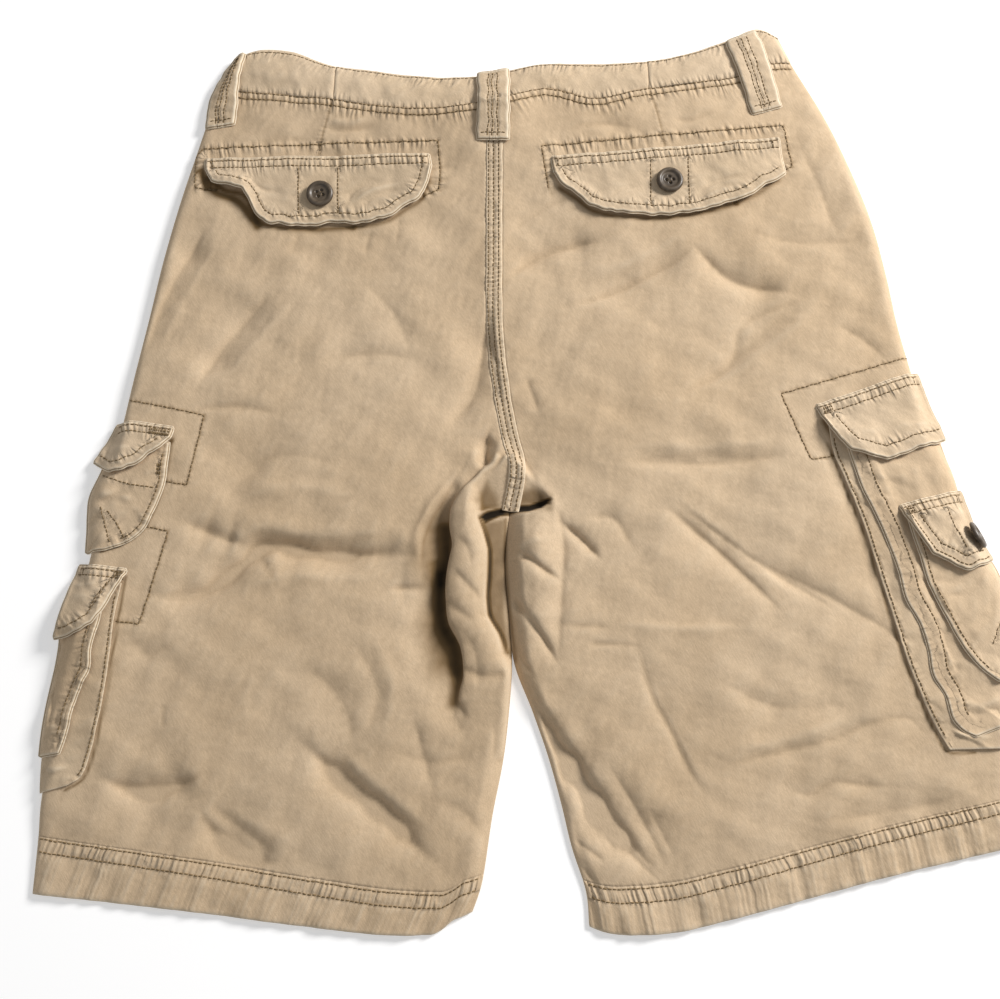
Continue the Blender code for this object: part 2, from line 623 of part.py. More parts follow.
def button(name, x, y):
    """A sewn-on button: a turned disc with a raised rim, tilted as the cloth under it."""
    radius = BUTTON_DIAMETER / 2.0
    profile = [
        # radius, height
        (0.80, 0.0), (0.97, 0.25), (1.0, 0.55), (0.95, 0.9), (0.86, 1.0), (0.74, 0.9), (0.64, 0.62),
    ]
    axis = tilt_at(x, y, radius * 0.6)
    if name == SIDE_BUTTON:
        axis = Vector((SIDE_FALL * SIDE_WAY[0], SIDE_FALL * SIDE_WAY[1], 1.0)).normalized()
    turn = Vector((0.0, 0.0, 1.0)).rotation_difference(axis).to_matrix()
    sides = 20
    around = [math.tau * k / sides for k in range(sides)]
    points = [Vector((0.0, 0.0, 0.0))]
    for ring_radius, height in profile:
        reach = radius * ring_radius
        points += [Vector((reach * math.cos(a), reach * math.sin(a), BUTTON_HEIGHT * height))
                   for a in around]
    points.append(Vector((0.0, 0.0, BUTTON_HEIGHT * profile[-1][1])))
    points = [turn @ point + Vector((x, y, 0.0)) for point in points]
    low = points[:1 + 2 * sides]
    clear = ground([p.x for p in low], [p.y for p in low]) + GAP - np.array([p.z for p in low])
    points = [point + Vector((0.0, 0.0, float(clear.max()))) for point in points]
    last = len(points) - 1
    faces = []
    for k in range(sides):
        n = (k + 1) % sides
        faces.append((0, 1 + n, 1 + k))
        for ring in range(len(profile) - 1):
            a, b = 1 + ring * sides + k, 1 + ring * sides + n
            faces += [(a, b, b + sides), (a, b + sides, a + sides)]
        faces.append((last - sides + k, last - sides + n, last))
    return solid(name, points, faces, BUTTON_BROWN, roughness=0.45)


# ---------------------------------------------------------------- legs and seat
backs = {
    "left": Back(LEFT_STATIONS, LEFT_HEM, LEFT_FOLDS),
    "right": Back(RIGHT_STATIONS, RIGHT_HEM, RIGHT_FOLDS),
}


def make_leg(side):
    """Front and back panel of one leg, each with its hem."""
    back = backs[side]
    hem_line = back.length - HEM_DEPTH
    body = back.outside(np.linspace(0.0, hem_line, PANEL_ROWS))
    hem = back.outside(np.linspace(hem_line, back.length, HEM_ROWS))
    hem[..., 2] += DOUBLE - CLOTH

    half = SEAM_GAP / 2.0
    front = back.outside(np.linspace(0.0, hem_line, FRONT_ROWS), back.few_columns)
    front = moved_in(front, SEAM_GAP, half, SEAM_GAP, half)
    front_hem = moved_in(hem, SEAM_GAP, half, half, 0.0)
    slab(f"front_{side}", front, FRONT_TOP)
    slab(f"hem_front_{side}", front_hem, FRONT_TOP)

    body = moved_in(body, SEAM_GAP, 0.0, SEAM_GAP, half)
    hem = moved_in(hem, SEAM_GAP, 0.0, half, 0.0)
    sheet(f"back_{side}", body, CLOTH, BACK_INSIDE, TWILL)
    sheet(f"hem_back_{side}", hem, DOUBLE, BACK_INSIDE, TWILL_PALE)


def make_waistband():
    """Front lengths on the floor, and three back lengths parted at the two darts."""
    seam = np.array(WAIST_SEAM, float)
    edge = np.array(WAIST_TOP, float)
    lengths = (("left", -229, -143, 9), ("centre", -143, 88, 18), ("right", 88, 195, 11))
    down = np.array([0.0, 0.12, 0.4, 0.7, 0.9, 1.0])
    for name, start, finish, columns in lengths:
        x = np.linspace(start, finish, columns)
        low = smooth(seam[:, 0], seam, x)
        high = smooth(seam[:, 0], edge, x)
        t = down[:, None, None]
        grid = low[None] + (high - low)[None] * t
        z = grid[..., 2] + BAND_STEP + BAND_BULGE * np.sin(math.pi * down)[:, None]
        z = BAND_RIM + (z - BAND_RIM) * quarter((1.0 - down) / 0.16)[:, None]
        grid[..., 2] = z
        left_end = 0.0 if name == "left" else 0.15
        right_end = 0.0 if name == "right" else 0.15
        if name == "left":
            grid[:, 0, 2] = BAND_RIM
        if name == "right":
            grid[:, -1, 2] = BAND_RIM
        grid = moved_in(grid, left_end, right_end, SEAM_GAP, 0.0)
        sheet(f"waistband_back_{name}", grid, DOUBLE, BAND_INSIDE, TWILL_PALE)
    for name, start, finish in (("left", -229, -26), ("right", -26, 195)):
        x = np.linspace(start, finish, FRONT_COLUMNS + 1)
        low = smooth(seam[:, 0], seam, x)
        high = smooth(seam[:, 0], edge, x)
        grid = low[None] + (high - low)[None] * np.array([0.0, 0.5, 0.97])[:, None, None]
        slab(f"waistband_front_{name}", moved_in(grid, SEAM_GAP, SEAM_GAP, SEAM_GAP, 0.0), DOUBLE)


def make_seat_seam():
    """The flat-felled strip over the joint of the two backs."""
    back = backs["left"]
    crotch = back.knots[8]
    rows = smooth(back.knots, back.values, np.linspace(2.0, crotch, 34))
    centre = rows[:, 0:2]
    direction = np.gradient(centre, axis=0)
    direction /= np.linalg.norm(direction, axis=1, keepdims=True)
    sideways = np.stack([direction[:, 1], -direction[:, 0]], axis=1)
    offset = np.array([-0.5, -0.44, 0.0, 0.44, 0.5]) * SEAT_SEAM_WIDTH
    x = centre[:, 0:1] + sideways[:, 0:1] * offset
    y = centre[:, 1:2] + sideways[:, 1:2] * offset
    rise = np.zeros_like(x) + np.array([-0.6, 0.0, 0.0, 0.0, -0.6])
    lay("seat_seam", x, y, CLOTH, rise, SEAM_TAN)


def make_loop(name):
    """A belt loop: sewn down at both ends, with room for a belt behind its middle."""
    x, y, rows = between(BELT_LOOPS[name], 9, (0.0, 0.12, 0.5, 0.88, 1.0))
    rise = rows[:, 4:5] - np.array([0.5, 0.0, 0.0, 0.0, 0.5])
    lay(f"belt_loop_{name}", x, y, DOUBLE, np.maximum(rise, 0.0), TWILL_PALE)


def make_flap(name, along, lift_start=0.35):
    """A pocket flap: sewn along its top edge, with its free edge standing off a little."""
    down = np.array([0.0, 0.06, 0.25, 0.5, 0.75, 0.94, 1.0])
    x, y, rows = between(FLAPS[name], along, down)
    lift = rows[:, 4:5] * ease((down - lift_start) / (1.0 - lift_start))
    lift = lift - 0.4 * (down == 0.0)
    lay(name, x, y, DOUBLE, np.maximum(lift, 0.0), TWILL_PALE)


def make_pouch(name, along, inner_turn, side_turn, end_turn, colour):
    """A pocket that stands off the leg and wraps round its side, down to the floor."""
    across = np.array([0.0, 0.04, 0.14, 0.32, 0.52, 0.7, 0.84, 0.94, 1.0])
    x, y, rows = between(POUCHES[name], along, across)
    width = np.hypot(rows[:, 2] - rows[:, 0], rows[:, 3] - rows[:, 1])[:, None]
    to_end = (1.0 - np.linspace(0.0, 1.0, along))[:, None] * travel(rows[:, 0:2])[-1]
    low = GAP + CLOTH
    shape = quarter((width * across + 0.6) / inner_turn)
    shape = shape * quarter(width * (1.0 - across) / side_turn)
    shape = shape * quarter((to_end + 0.6) / end_turn)
    top = low + (rows[:, 4:5] - low) * shape
    if name in UNDER_BUTTON:
        top = np.minimum(top, np.maximum(side_slope(x, y) - UNDER_BUTTON[name], low))
    lay(name, x, y, CLOTH, 0.0, colour, top=top)


make_leg("left")
make_leg("right")
make_waistband()
make_seat_seam()
for loop_name in BELT_LOOPS:
    make_loop(loop_name)
make_flap("back_pocket_flap_left", 17)
make_flap("back_pocket_flap_right", 17)

make_pouch("cargo_right_gusset", 16, 6.0, 4.0, 8.0, TWILL_DARK)
make_pouch("cargo_right_pocket", 24, 3.0, 16.0, 6.0, TWILL)
make_pouch("cargo_right_small_pocket", 16, 3.0, 16.0, 8.0, TWILL_PALE)
make_flap("cargo_right_flap", 11)
make_flap("cargo_right_small_flap", 17)

make_pouch("cargo_left_upper_pocket", 11, 3.0, 14.0, 8.0, TWILL)
make_flap("cargo_left_upper_flap", 8)
make_pouch("cargo_left_lower_gusset", 13, 6.0, 10.0, 8.0, TWILL_DARK)
make_pouch("cargo_left_lower_pocket", 11, 3.0, 10.0, 6.0, TWILL)
make_flap("cargo_left_lower_flap", 8)

for button_name, (button_x, button_y) in BUTTONS.items():
    button(button_name, button_x, button_y)
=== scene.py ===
# %% [markdown]
# # Cargo shorts laid flat, back side up
#
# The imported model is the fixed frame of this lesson. It holds one plain solid for every
# piece that a maker cuts: panels, waistband lengths, loops, flaps, pockets and buttons.
# Each cell below takes a few of those solids and puts the finished piece in their place,
# with its folds, puckers, sewing and worn edges. Nothing is moved, so every piece lies
# exactly where its solid lies.

# %% Load the frame
import json
import math

import bpy
import numpy as np
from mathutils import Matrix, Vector
from mathutils.bvhtree import BVHTree

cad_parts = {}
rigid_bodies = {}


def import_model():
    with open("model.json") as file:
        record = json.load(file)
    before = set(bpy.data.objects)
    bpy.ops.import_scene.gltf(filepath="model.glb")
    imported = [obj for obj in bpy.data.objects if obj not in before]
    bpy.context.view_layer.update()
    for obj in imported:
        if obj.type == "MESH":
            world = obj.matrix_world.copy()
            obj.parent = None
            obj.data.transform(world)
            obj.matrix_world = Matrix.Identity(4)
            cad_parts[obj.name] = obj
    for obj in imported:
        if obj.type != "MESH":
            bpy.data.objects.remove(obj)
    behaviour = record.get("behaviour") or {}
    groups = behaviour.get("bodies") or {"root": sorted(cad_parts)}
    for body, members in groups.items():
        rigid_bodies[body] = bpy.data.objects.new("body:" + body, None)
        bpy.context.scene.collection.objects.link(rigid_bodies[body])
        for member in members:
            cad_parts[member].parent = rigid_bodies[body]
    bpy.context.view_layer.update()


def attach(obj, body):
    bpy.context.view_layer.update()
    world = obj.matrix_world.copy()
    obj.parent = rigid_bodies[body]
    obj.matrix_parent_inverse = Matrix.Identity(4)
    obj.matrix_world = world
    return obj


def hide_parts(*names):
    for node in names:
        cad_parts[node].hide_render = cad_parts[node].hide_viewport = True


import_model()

MM = 0.001

# %% [markdown]
# ## Reading curves from short tables
#
# A garment is drawn with few points and long smooth lines. Blender could hold those lines
# as curve objects, but a table with a smooth reader is shorter, and the same reader
# serves edges, folds and seams. All tables are in millimetres.

# %% Curve readers
def travel(points):
    """Distance along a row of points, from the first."""
    points = np.asarray(points, float)
    steps = np.linalg.norm(np.diff(points, axis=0), axis=1)
    return np.concatenate([[0.0], np.cumsum(steps)])


def smooth(knots, values, at):
    """Read a smooth curve through a table's rows."""
    knots = np.asarray(knots, float)
    values = np.asarray(values, float)
    at = np.clip(np.asarray(at, float), knots[0], knots[-1])
    slopes = np.gradient(values, knots, axis=0)
    low = np.clip(np.searchsorted(knots, at, side="right") - 1, 0, len(knots) - 2)
    span = knots[low + 1] - knots[low]
    t = (at - knots[low]) / span
    if values.ndim > 1:
        t = t[..., None]
        span = span[..., None]
    rise = values[low + 1] - values[low]
    start = slopes[low] * span
    finish = slopes[low + 1] * span
    return values[low] + t * start + t * t * (3 * rise - 2 * start - finish) \
        + t * t * t * (start + finish - 2 * rise)


def curved(points, step=3.0):
    """A smooth line through given points, with a point every few millimetres."""
    knots = travel(points)
    return smooth(knots, points, np.linspace(0.0, knots[-1], max(3, int(knots[-1] / step) + 2)))


def straight(points):
    """The same points as an array, for a line with sharp corners."""
    return np.asarray(points, float)


def ease(t):
    t = np.clip(t, 0.0, 1.0)
    return t * t * (3.0 - 2.0 * t)


def quarter(t):
    """Quarter ellipse from 0 at an edge to 1 where the cloth has turned level."""
    t = np.clip(t, 0.0, 1.0)
    return np.sqrt(1.0 - (1.0 - t) ** 2)


def bell(away, width):
    """1 at no distance, and soon nothing beyond the width."""
    return np.exp(-(away / width) ** 2)


def unit(vectors):
    return vectors / np.maximum(np.linalg.norm(vectors, axis=-1, keepdims=True), 1e-9)


print("a 10 by 10 corner is", travel([(0, 0), (10, 0), (10, 10)])[-1], "mm round")

# %% [markdown]
# ## Distance to a line
#
# Folds, puckers and worn edges all depend on one thing: how far a point of the cloth is
# from a line, on which side, and how far along. Sculpting brushes do this by hand. Here
# numpy does it for all points of a grid at once, so the same fold comes out every time.

# %% Distance to a line
def beside(x, y, line):
    """Distance from a line (positive on its left), distance along it, and its length."""
    start = line[:-1]
    step = line[1:] - start
    size = np.maximum(np.linalg.norm(step, axis=1), 1e-6)
    run = np.concatenate([[0.0], np.cumsum(size)])
    best = np.full(x.shape, 1e9)
    side = np.zeros(x.shape)
    along = np.zeros(x.shape)
    for k in range(len(step)):
        dx = x - start[k, 0]
        dy = y - start[k, 1]
        t = np.clip((dx * step[k, 0] + dy * step[k, 1]) / size[k] ** 2, 0.0, 1.0)
        ex = dx - t * step[k, 0]
        ey = dy - t * step[k, 1]
        distance = np.hypot(ex, ey)
        nearer = distance < best
        best = np.where(nearer, distance, best)
        side = np.where(nearer, step[k, 0] * ey - step[k, 1] * ex, side)
        along = np.where(nearer, run[k] + t * size[k], along)
    return best * np.where(side < 0, -1.0, 1.0), along, run[-1]


def close_to(x, y, line, reach):
    """Which points of a grid lie in the box round a line."""
    low = line.min(axis=0) - reach
    high = line.max(axis=0) + reach
    return (x > low[0]) & (x < high[0]) & (y > low[1]) & (y < high[1])


def inside(x, y, outline):
    """How far inside a closed outline each point is (negative outside)."""
    loop = np.vstack([outline, outline[:1]])
    distance = np.abs(beside(x, y, loop)[0])
    crossings = np.zeros(x.shape, int)
    for (ax, ay), (bx, by) in zip(loop[:-1], loop[1:]):
        if ay != by:
            over = ((ay > y) != (by > y)) & (x < (bx - ax) * (y - ay) / (by - ay) + ax)
            crossings += over
    return np.where(crossings % 2 == 1, distance, -distance)


probe = beside(np.array([0.0]), np.array([5.0]), straight([(-10, 0), (10, 0)]))
print("5 mm to the left of a line reads", float(probe[0][0]))

# %% [markdown]
# ## Unevenness
#
# Washed cotton is never regular: puckers differ in width and height, and large areas
# swell and sink a little. Two helpers make this: an uneven wave along a seam, and slow
# ripples over an area. Each draws from its own seed, so the cloth is the same every run.

# %% Uneven waves and ripples
def uneven(length, pitch, seed, at):
    """An uneven wave along a length: ups and downs with no two alike."""
    draw = np.random.default_rng(seed)
    count = int(length / (pitch * 0.5)) + 8
    knots = np.cumsum(pitch * draw.uniform(0.28, 0.75, count)) - 2 * pitch
    heights = draw.uniform(0.25, 1.0, count) * np.where(np.arange(count) % 2, 1.0, -0.8)
    return smooth(knots, heights, at)


def bulges(along, length, pitch, seed):
    """Puckers along a seam: full rounds of uneven width, with narrow valleys between them."""
    draw = np.random.default_rng(seed)
    count = int(length / pitch * 1.5) + 12
    valleys = np.cumsum(pitch * draw.uniform(0.6, 1.45, count)) - 4 * pitch
    heights = draw.uniform(0.45, 1.0, count)
    at = np.clip(along, valleys[0], valleys[-1] - 0.01)
    k = np.clip(np.searchsorted(valleys, at, side="right") - 1, 0, count - 2)
    t = (at - valleys[k]) / (valleys[k + 1] - valleys[k])
    return heights[k] * (1.0 - np.abs(2.0 * t - 1.0) ** 2.4) * 1.6 - 0.8


def ripples(x, y, size, seed):
    """Slow swells about one high, with no direction of their own."""
    draw = np.random.default_rng(seed)
    total = np.zeros(np.shape(x))
    for _ in range(16):
        angle = draw.uniform(0.0, math.tau)
        turn = math.tau / size * draw.uniform(0.55, 1.7)
        aside = draw.uniform(0.0, math.tau)
        place = (x * math.cos(aside) + y * math.sin(aside)) / size
        bend = 0.8 * np.sin(place * draw.uniform(1.0, 3.5) + draw.uniform(0, 6))
        phase = turn * (x * math.cos(angle) + y * math.sin(angle)) + bend
        total += draw.uniform(0.4, 1.0) * np.sin(phase + draw.uniform(0.0, math.tau))
    return total / 3.2


sample = ripples(*np.meshgrid(np.arange(0, 300, 5.0), np.arange(0, 300, 5.0)), 60, 1)
print("ripples run from", round(float(sample.min()), 2), "to", round(float(sample.max()), 2))

# %% [markdown]
# ## Folds and seams as relief
#
# A crease is a trough that is steeper on one side, because the cloth leans over it. A
# pressed seam is a small ditch under each row of stitches, with puckers across it where
# the thread has drawn the cloth up in the wash. Both are added to a grid of heights, and
# a seam also paints shade along its ditches and into the valleys between its puckers.

# %% Folds and seams as relief
def crease(z, x, y, left, right, height, points, seed=0):
    """Add one fold with its own width on either side. It fades and wanders along its length."""
    line = curved(points)
    reach = 3.0 * max(left, right)
    here = close_to(x, y, line, reach)
    if not here.any():
        return
    away, along, length = beside(x[here], y[here], line)
    fade = ease(3.6 * along / length) * ease(3.6 * (length - along) / length)
    change = uneven(length, 30.0, seed + 17, along)
    width = np.where(away > 0, left, right) * (0.6 + 0.4 * fade) * (1.0 + 0.2 * change)
    body = np.exp(-np.abs(away / width) ** (1.25 if height < 0 else 1.8))
    z[here] += height * (0.1 + 0.9 * fade) * (1.0 + 0.15 * change) * body


def left_of(line):
    """Unit steps to the left of each point of a line."""
    step = unit(np.gradient(line, axis=0))
    return np.stack([-step[:, 1], step[:, 0]], axis=1)


def shifted(line, offset):
    """A line moved sideways: to its left for a positive offset."""
    return line + left_of(line) * offset


class Marks:
    """What a grid tells its material: where shade is painted, and how seams pull the cloth."""

    def __init__(self, x):
        self.painted_shade = np.zeros(x.shape)
        self.pull = np.zeros(x.shape)
        self.along = np.zeros(x.shape)

    def pulled(self, here, amount, along):
        """Keep the strongest pull at each point, and the place along its seam."""
        stronger = amount > self.pull[here]
        self.pull[here] = np.where(stronger, amount, self.pull[here])
        self.along[here] = np.where(stronger, along, self.along[here])

    def darken(self, x, y, line, reach, amount):
        """Paint shade along a line: under an edge that hangs over it, and along creases."""
        here = close_to(x, y, line, 3.0 * reach)
        if here.any():
            self.painted_shade[here] -= amount * bell(beside(x[here], y[here], line)[0], reach)


def pressed(z, x, y, line, rows=(0.0,), pucker=0.35, reach=(5.0, 5.0), pitch=4.6,
            ditch=0.45, lean=0.3, seed=0, marks=None):
    """Press a seam into the cloth: a ditch under each row, and puckers across all of them."""
    margin = max(reach) * 2.5 + max(abs(row) for row in rows)
    here = close_to(x, y, line, margin)
    if not here.any():
        return
    away, along, length = beside(x[here], y[here], line)
    shares = np.random.default_rng(seed + 211).uniform(0.3, 1.5, int(length / 6) + 3)
    share = np.interp(along, np.linspace(0.0, length, len(shares)), shares)
    low, high = min(rows), max(rows)
    beyond = np.where(away > high, (away - high) / (reach[0] * share),
                      np.where(away < low, (low - away) / (reach[1] * share), 0.0))
    wave = bulges(along + lean * away + 1.2 * share, length, pitch, seed + 101)
    gather = np.exp(-beyond ** 2)
    z[here] += pucker * gather * wave
    for row in rows:
        z[here] -= ditch * bell(away - row, 0.95)
        # painted shade along the ditch under each row
        if marks is not None:
            marks.painted_shade[here] -= 0.5 * bell(away - row, 0.8)
    if marks is not None:
        # painted shade in the valleys between puckers
        marks.painted_shade[here] -= 0.35 * pucker * gather * np.clip(-wave, 0.0, 1.0)
        short = np.exp(-(1.5 * beyond) ** 2)
        marks.pulled(here, min(1.5 * pucker, 0.8) * short, along + 0.3 * lean * away + 37.0 * seed)


def rolled(z, x, y, height, widths, outline, crest):
    """Raise an area to a round roll that turns down at its outline, and faster at its crest."""
    outline = straight(outline)
    here = close_to(x, y, outline, 2.0)
    if here.any():
        depth = inside(x[here], y[here], outline)
        drop = np.abs(beside(x[here], y[here], curved(crest))[0])
        climb = quarter((depth + 0.5) / widths[0])
        share = climb * quarter((np.maximum(drop, depth) + 0.5) / widths[1])
        z[here] += np.maximum(height_at(y[here], height) - z[here], 0.0) * share * (depth > -0.5)


def height_at(y, height):
    """One height, or heights that go with y."""
    if isinstance(height, tuple):
        ys, heights = zip(*height)
        return np.interp(y, ys, heights)
    return height


def soft_area(x, y, outline, edge):
    """Which points lie in or near an outline, and how far each counts as inside it."""
    outline = straight(outline)
    here = close_to(x, y, outline, 3.0 * edge)
    return here, ease(inside(x[here], y[here], outline) / (2.0 * edge) + 0.5)


def levelled(z, x, y, height, edge, outline):
    """Bring an area to one height, or to a slope, with a soft edge."""
    here, share = soft_area(x, y, outline, edge)
    z[here] += (height_at(y[here], height) - z[here]) * share


trial = np.zeros((3, 3))
crease(trial, *np.meshgrid([0.0, 5.0, 10.0], [0.0, 5.0, 10.0]), 4, 4, -2.0, [(-30, 5), (40, 5)])
print("a 2 mm fold reads", round(float(trial.min()), 2), "mm at its middle")

# %% [markdown]
# ## From a grid of points to a piece of cloth
#
# Every piece of cloth is one closed wall: a fine outside, a coarser inside that nobody
# sees, and a rim between them. Blender's Solidify modifier would double the fine faces.
# Writing the faces directly keeps the inside coarse, and lets the rim have its own shape:
# a flap is two layers sewn edge to edge, so its rim shows a groove between two pale lips.
# Each point also gets a number that the materials read: above zero it bleaches the point
# to cream, as rubbing does, and below zero it is painted shade, as in the groove of a
# flap's rim.

# %% Build a wall of cloth
def normals(grid):
    """Upward unit normals of a grid of points."""
    normal = unit(np.cross(np.gradient(grid, axis=1), np.gradient(grid, axis=0)))
    return normal * np.where(normal[..., 2:3] < 0, -1.0, 1.0)


def ring_of(rows, columns):
    """Grid positions round the edge, once round from the first corner."""
    ring = [(0, j) for j in range(columns)]
    ring += [(i, columns - 1) for i in range(1, rows)]
    ring += [(rows - 1, j) for j in range(columns - 2, -1, -1)]
    ring += [(i, 0) for i in range(rows - 2, 0, -1)]
    return np.array(ring)


def grid_faces(rows, columns, first=0, flip=False):
    """Two triangles for each facet of a grid."""
    a = (first + np.arange(rows - 1)[:, None] * columns + np.arange(columns - 1)).ravel()
    b, c, d = a + columns, a + columns + 1, a + 1
    faces = np.concatenate([np.stack([a, b, c], 1), np.stack([a, c, d], 1)])
    return faces[:, ::-1] if flip else faces


def in_scene(name, data):
    made = bpy.data.objects.new(name, data)
    bpy.context.scene.collection.objects.link(made)
    return made


def mesh_object(name, points, faces, material, layers=None):
    """Make an object from points in millimetres and triangles, with numbers at its points."""
    mesh = bpy.data.meshes.new(name)
    mesh.from_pydata(np.asarray(points, float) * MM, [], faces)
    mesh.shade_smooth()
    mesh.materials.append(material)
    for layer_name, values in (layers or {}).items():
        layer = mesh.attributes.new(layer_name, "FLOAT", "POINT")
        layer.data.foreach_set("value", np.asarray(values, np.float32))
    piece = in_scene(name, mesh)
    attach(piece, "root")
    return piece


THINNEST = 0.35          # a wall is nowhere thinner than this
# rim levels: how far out, share of the depth, and paleness from rubbing; below zero it is painted shade, as
# in the groove between a flap's two pale lips
PLAIN_RIM = ((0.25, 0.35, 0.0), (0.25, 0.7, 0.0))         # out, share of depth, wear
LAYERED_RIM = ((0.25, 0.12, 0.95), (0.5, 0.26, 0.5), (0.62, 0.46, -0.9), (0.95, 0.56, -0.5),
               (1.3, 0.6, 0.95), (1.65, 0.72, 0.95), (1.65, 0.88, 0.4))
FOLDED_RIM = ((0.3, 0.2, 0.6), (0.35, 0.5, 0.3), (0.15, 0.85, 0.0))


def wall(name, outer, thickness, material, wear_and_shade=None, rim=PLAIN_RIM, coarse=2, lowest=None,
         inner=None, marks=None):
    """Close a fine grid into a wall of cloth. inner gives the heights of its other side."""
    rows, columns = outer.shape[:2]
    above = outer[::coarse, ::coarse]
    below = above - normals(outer)[::coarse, ::coarse] * thickness
    for edge in (np.s_[0], np.s_[-1], np.s_[:, 0], np.s_[:, -1]):
        below[edge] = above[edge] - [0.0, 0.0, thickness]
    if inner is not None:
        below[..., 2] = inner
    if lowest is not None:
        below[..., 2] = np.maximum(below[..., 2], lowest)
    deepest = np.pad(outer[..., 2], coarse, mode="edge")
    steps = range(2 * coarse + 1)
    deepest = np.min([deepest[i:i + rows, j:j + columns] for i in steps for j in steps], axis=0)
    below[..., 2] = np.minimum(below[..., 2], deepest[::coarse, ::coarse] - THINNEST)
    ring = ring_of(rows, columns)
    edge = outer[ring[:, 0], ring[:, 1]]
    step = np.roll(edge, -1, axis=0)[:, :2] - np.roll(edge, 1, axis=0)[:, :2]
    area = (edge[:, 0] * np.roll(edge[:, 1], -1) - edge[:, 1] * np.roll(edge[:, 0], -1)).sum()
    out = unit(np.stack([step[:, 1], -step[:, 0]], 1) * (1.0 if area > 0 else -1.0))
    inner_ring = ring_of(*below.shape[:2])
    foot = below[inner_ring[:, 0], inner_ring[:, 1], 2]
    foot = np.interp(np.arange(len(edge)) / coarse, np.arange(len(foot) + 1),
                     np.append(foot, foot[0]))
    points = [outer.reshape(-1, 3)]
    faces = [grid_faces(rows, columns)]
    here = ring[:, 0] * columns + ring[:, 1]
    total = rows * columns
    for outward, share, _wear_and_shade in rim:
        level = edge.copy()
        level[:, :2] += out * outward
        level[:, 2] += (foot - edge[:, 2]) * share
        points.append(level)
        there = total + np.arange(len(edge))
        nxt, there_next = np.roll(here, -1), np.roll(there, -1)
        faces += [np.stack([here, nxt, there_next], 1), np.stack([here, there_next, there], 1)]
        here = there
        total += len(edge)
    near = total + inner_ring[:, 0] * below.shape[1] + inner_ring[:, 1]
    far = np.roll(near, -1)
    fine = here.reshape(-1, coarse)
    after = np.roll(here, -1).reshape(-1, coarse)
    middle = coarse // 2
    for t in range(coarse):
        faces.append(np.stack([fine[:, t], after[:, t], near if t < middle else far], 1))
    faces.append(np.stack([near, fine[:, middle], far], 1))
    faces.append(grid_faces(*below.shape[:2], first=total, flip=True))
    points.append(below.reshape(-1, 3))
    points = np.concatenate(points)
    points[:, 2] = np.maximum(points[:, 2], 0.0)
    faces = np.concatenate(faces)
    first = faces[0]
    lift = np.cross(points[first[1]] - points[first[0]], points[first[2]] - points[first[0]])
    if lift[2] < 0:
        faces = faces[:, ::-1]
    if wear_and_shade is None:
        wear_and_shade = np.zeros((rows, columns))
    edge_wear = wear_and_shade[ring[:, 0], ring[:, 1]]
    hidden = np.zeros(below.shape[0] * below.shape[1])
    # each rim level carries its own value, plus the painted shade of the edge beside it
    rims = [np.full(len(ring), level[2]) + np.minimum(edge_wear, 0.0) for level in rim]
    layers = {"wear_and_shade": np.concatenate([wear_and_shade.ravel(), *rims, hidden])}
    if marks is not None:
        for layer_name, values in (("pull", marks.pull), ("along", marks.along)):
            at_edge = values[ring[:, 0], ring[:, 1]]
            layers[layer_name] = np.concatenate([values.ravel(), *[at_edge] * len(rim), hidden])
    return mesh_object(name, points, faces, material, layers)


print("a flap's rim has", len(LAYERED_RIM), "levels, and a panel's has", len(PLAIN_RIM))

# %% [markdown]
# ## What lies under a piece
#
# Flaps, loops and pockets lie on the panels, so each is laid on what is already there.
# A ray cast down through every finished piece finds the height, and a few rounds of
# smoothing stretch the new cloth over small hollows, the way a stiffer layer bridges them.

# %% Lay cloth on what is there
laid = []


def add_to_ground(grid):
    """Remember a piece's outside, so that later pieces and sewing can lie on it."""
    points = grid.reshape(-1, 3)
    rows, columns = grid.shape[:2]
    a = (np.arange(rows - 1)[:, None] * columns + np.arange(columns - 1)).ravel()
    quads = np.stack([a, a + columns, a + columns + 1, a + 1], 1)
    tree = BVHTree.FromPolygons(points.tolist(), quads.tolist())
    laid.append((tree, points[:, :2].min(axis=0), points[:, :2].max(axis=0)))


def put_in_place(node, grid, thickness, material, worn_and_shaded, rim, marks, lowest=None):
    """Make the wall of a piece, let it replace its solid, and let later pieces lie on it."""
    piece = wall(f"cloth_{node}", grid, thickness, material, worn_and_shaded, rim, lowest=lowest, marks=marks)
    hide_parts(node)
    add_to_ground(grid)
    return piece


DOWN = Vector((0.0, 0.0, -1.0))


def touch(px, py):
    """Height and upward direction of whatever lies highest at one point."""
    height, normal = 0.0, Vector((0.0, 0.0, 1.0))
    for tree, low, high in laid:
        if low[0] <= px <= high[0] and low[1] <= py <= high[1]:
            hit, facing = tree.ray_cast(Vector((px, py, 100.0)), DOWN)[:2]
            if hit is not None and hit.z > height:
                height, normal = hit.z, facing if facing.z > 0 else -facing
    return height, normal


def ground(x, y):
    flat = [touch(float(px), float(py))[0] for px, py in zip(np.ravel(x), np.ravel(y))]
    return np.array(flat).reshape(np.shape(x))


def drape(x, y, gap, rounds):
    """Heights of a sheet stretched over what is under it, never closer than the gap."""
    least = ground(x, y) + gap
    z = least.copy()
    for _ in range(rounds):
        wide = np.pad(z, 1, mode="edge")
        mean = (wide[:-2, 1:-1] + wide[2:, 1:-1] + wide[1:-1, :-2] + wide[1:-1, 2:]) / 4.0
        z = np.maximum(least, mean)
    return z


print("the floor is at", touch(0.0, 0.0)[0])
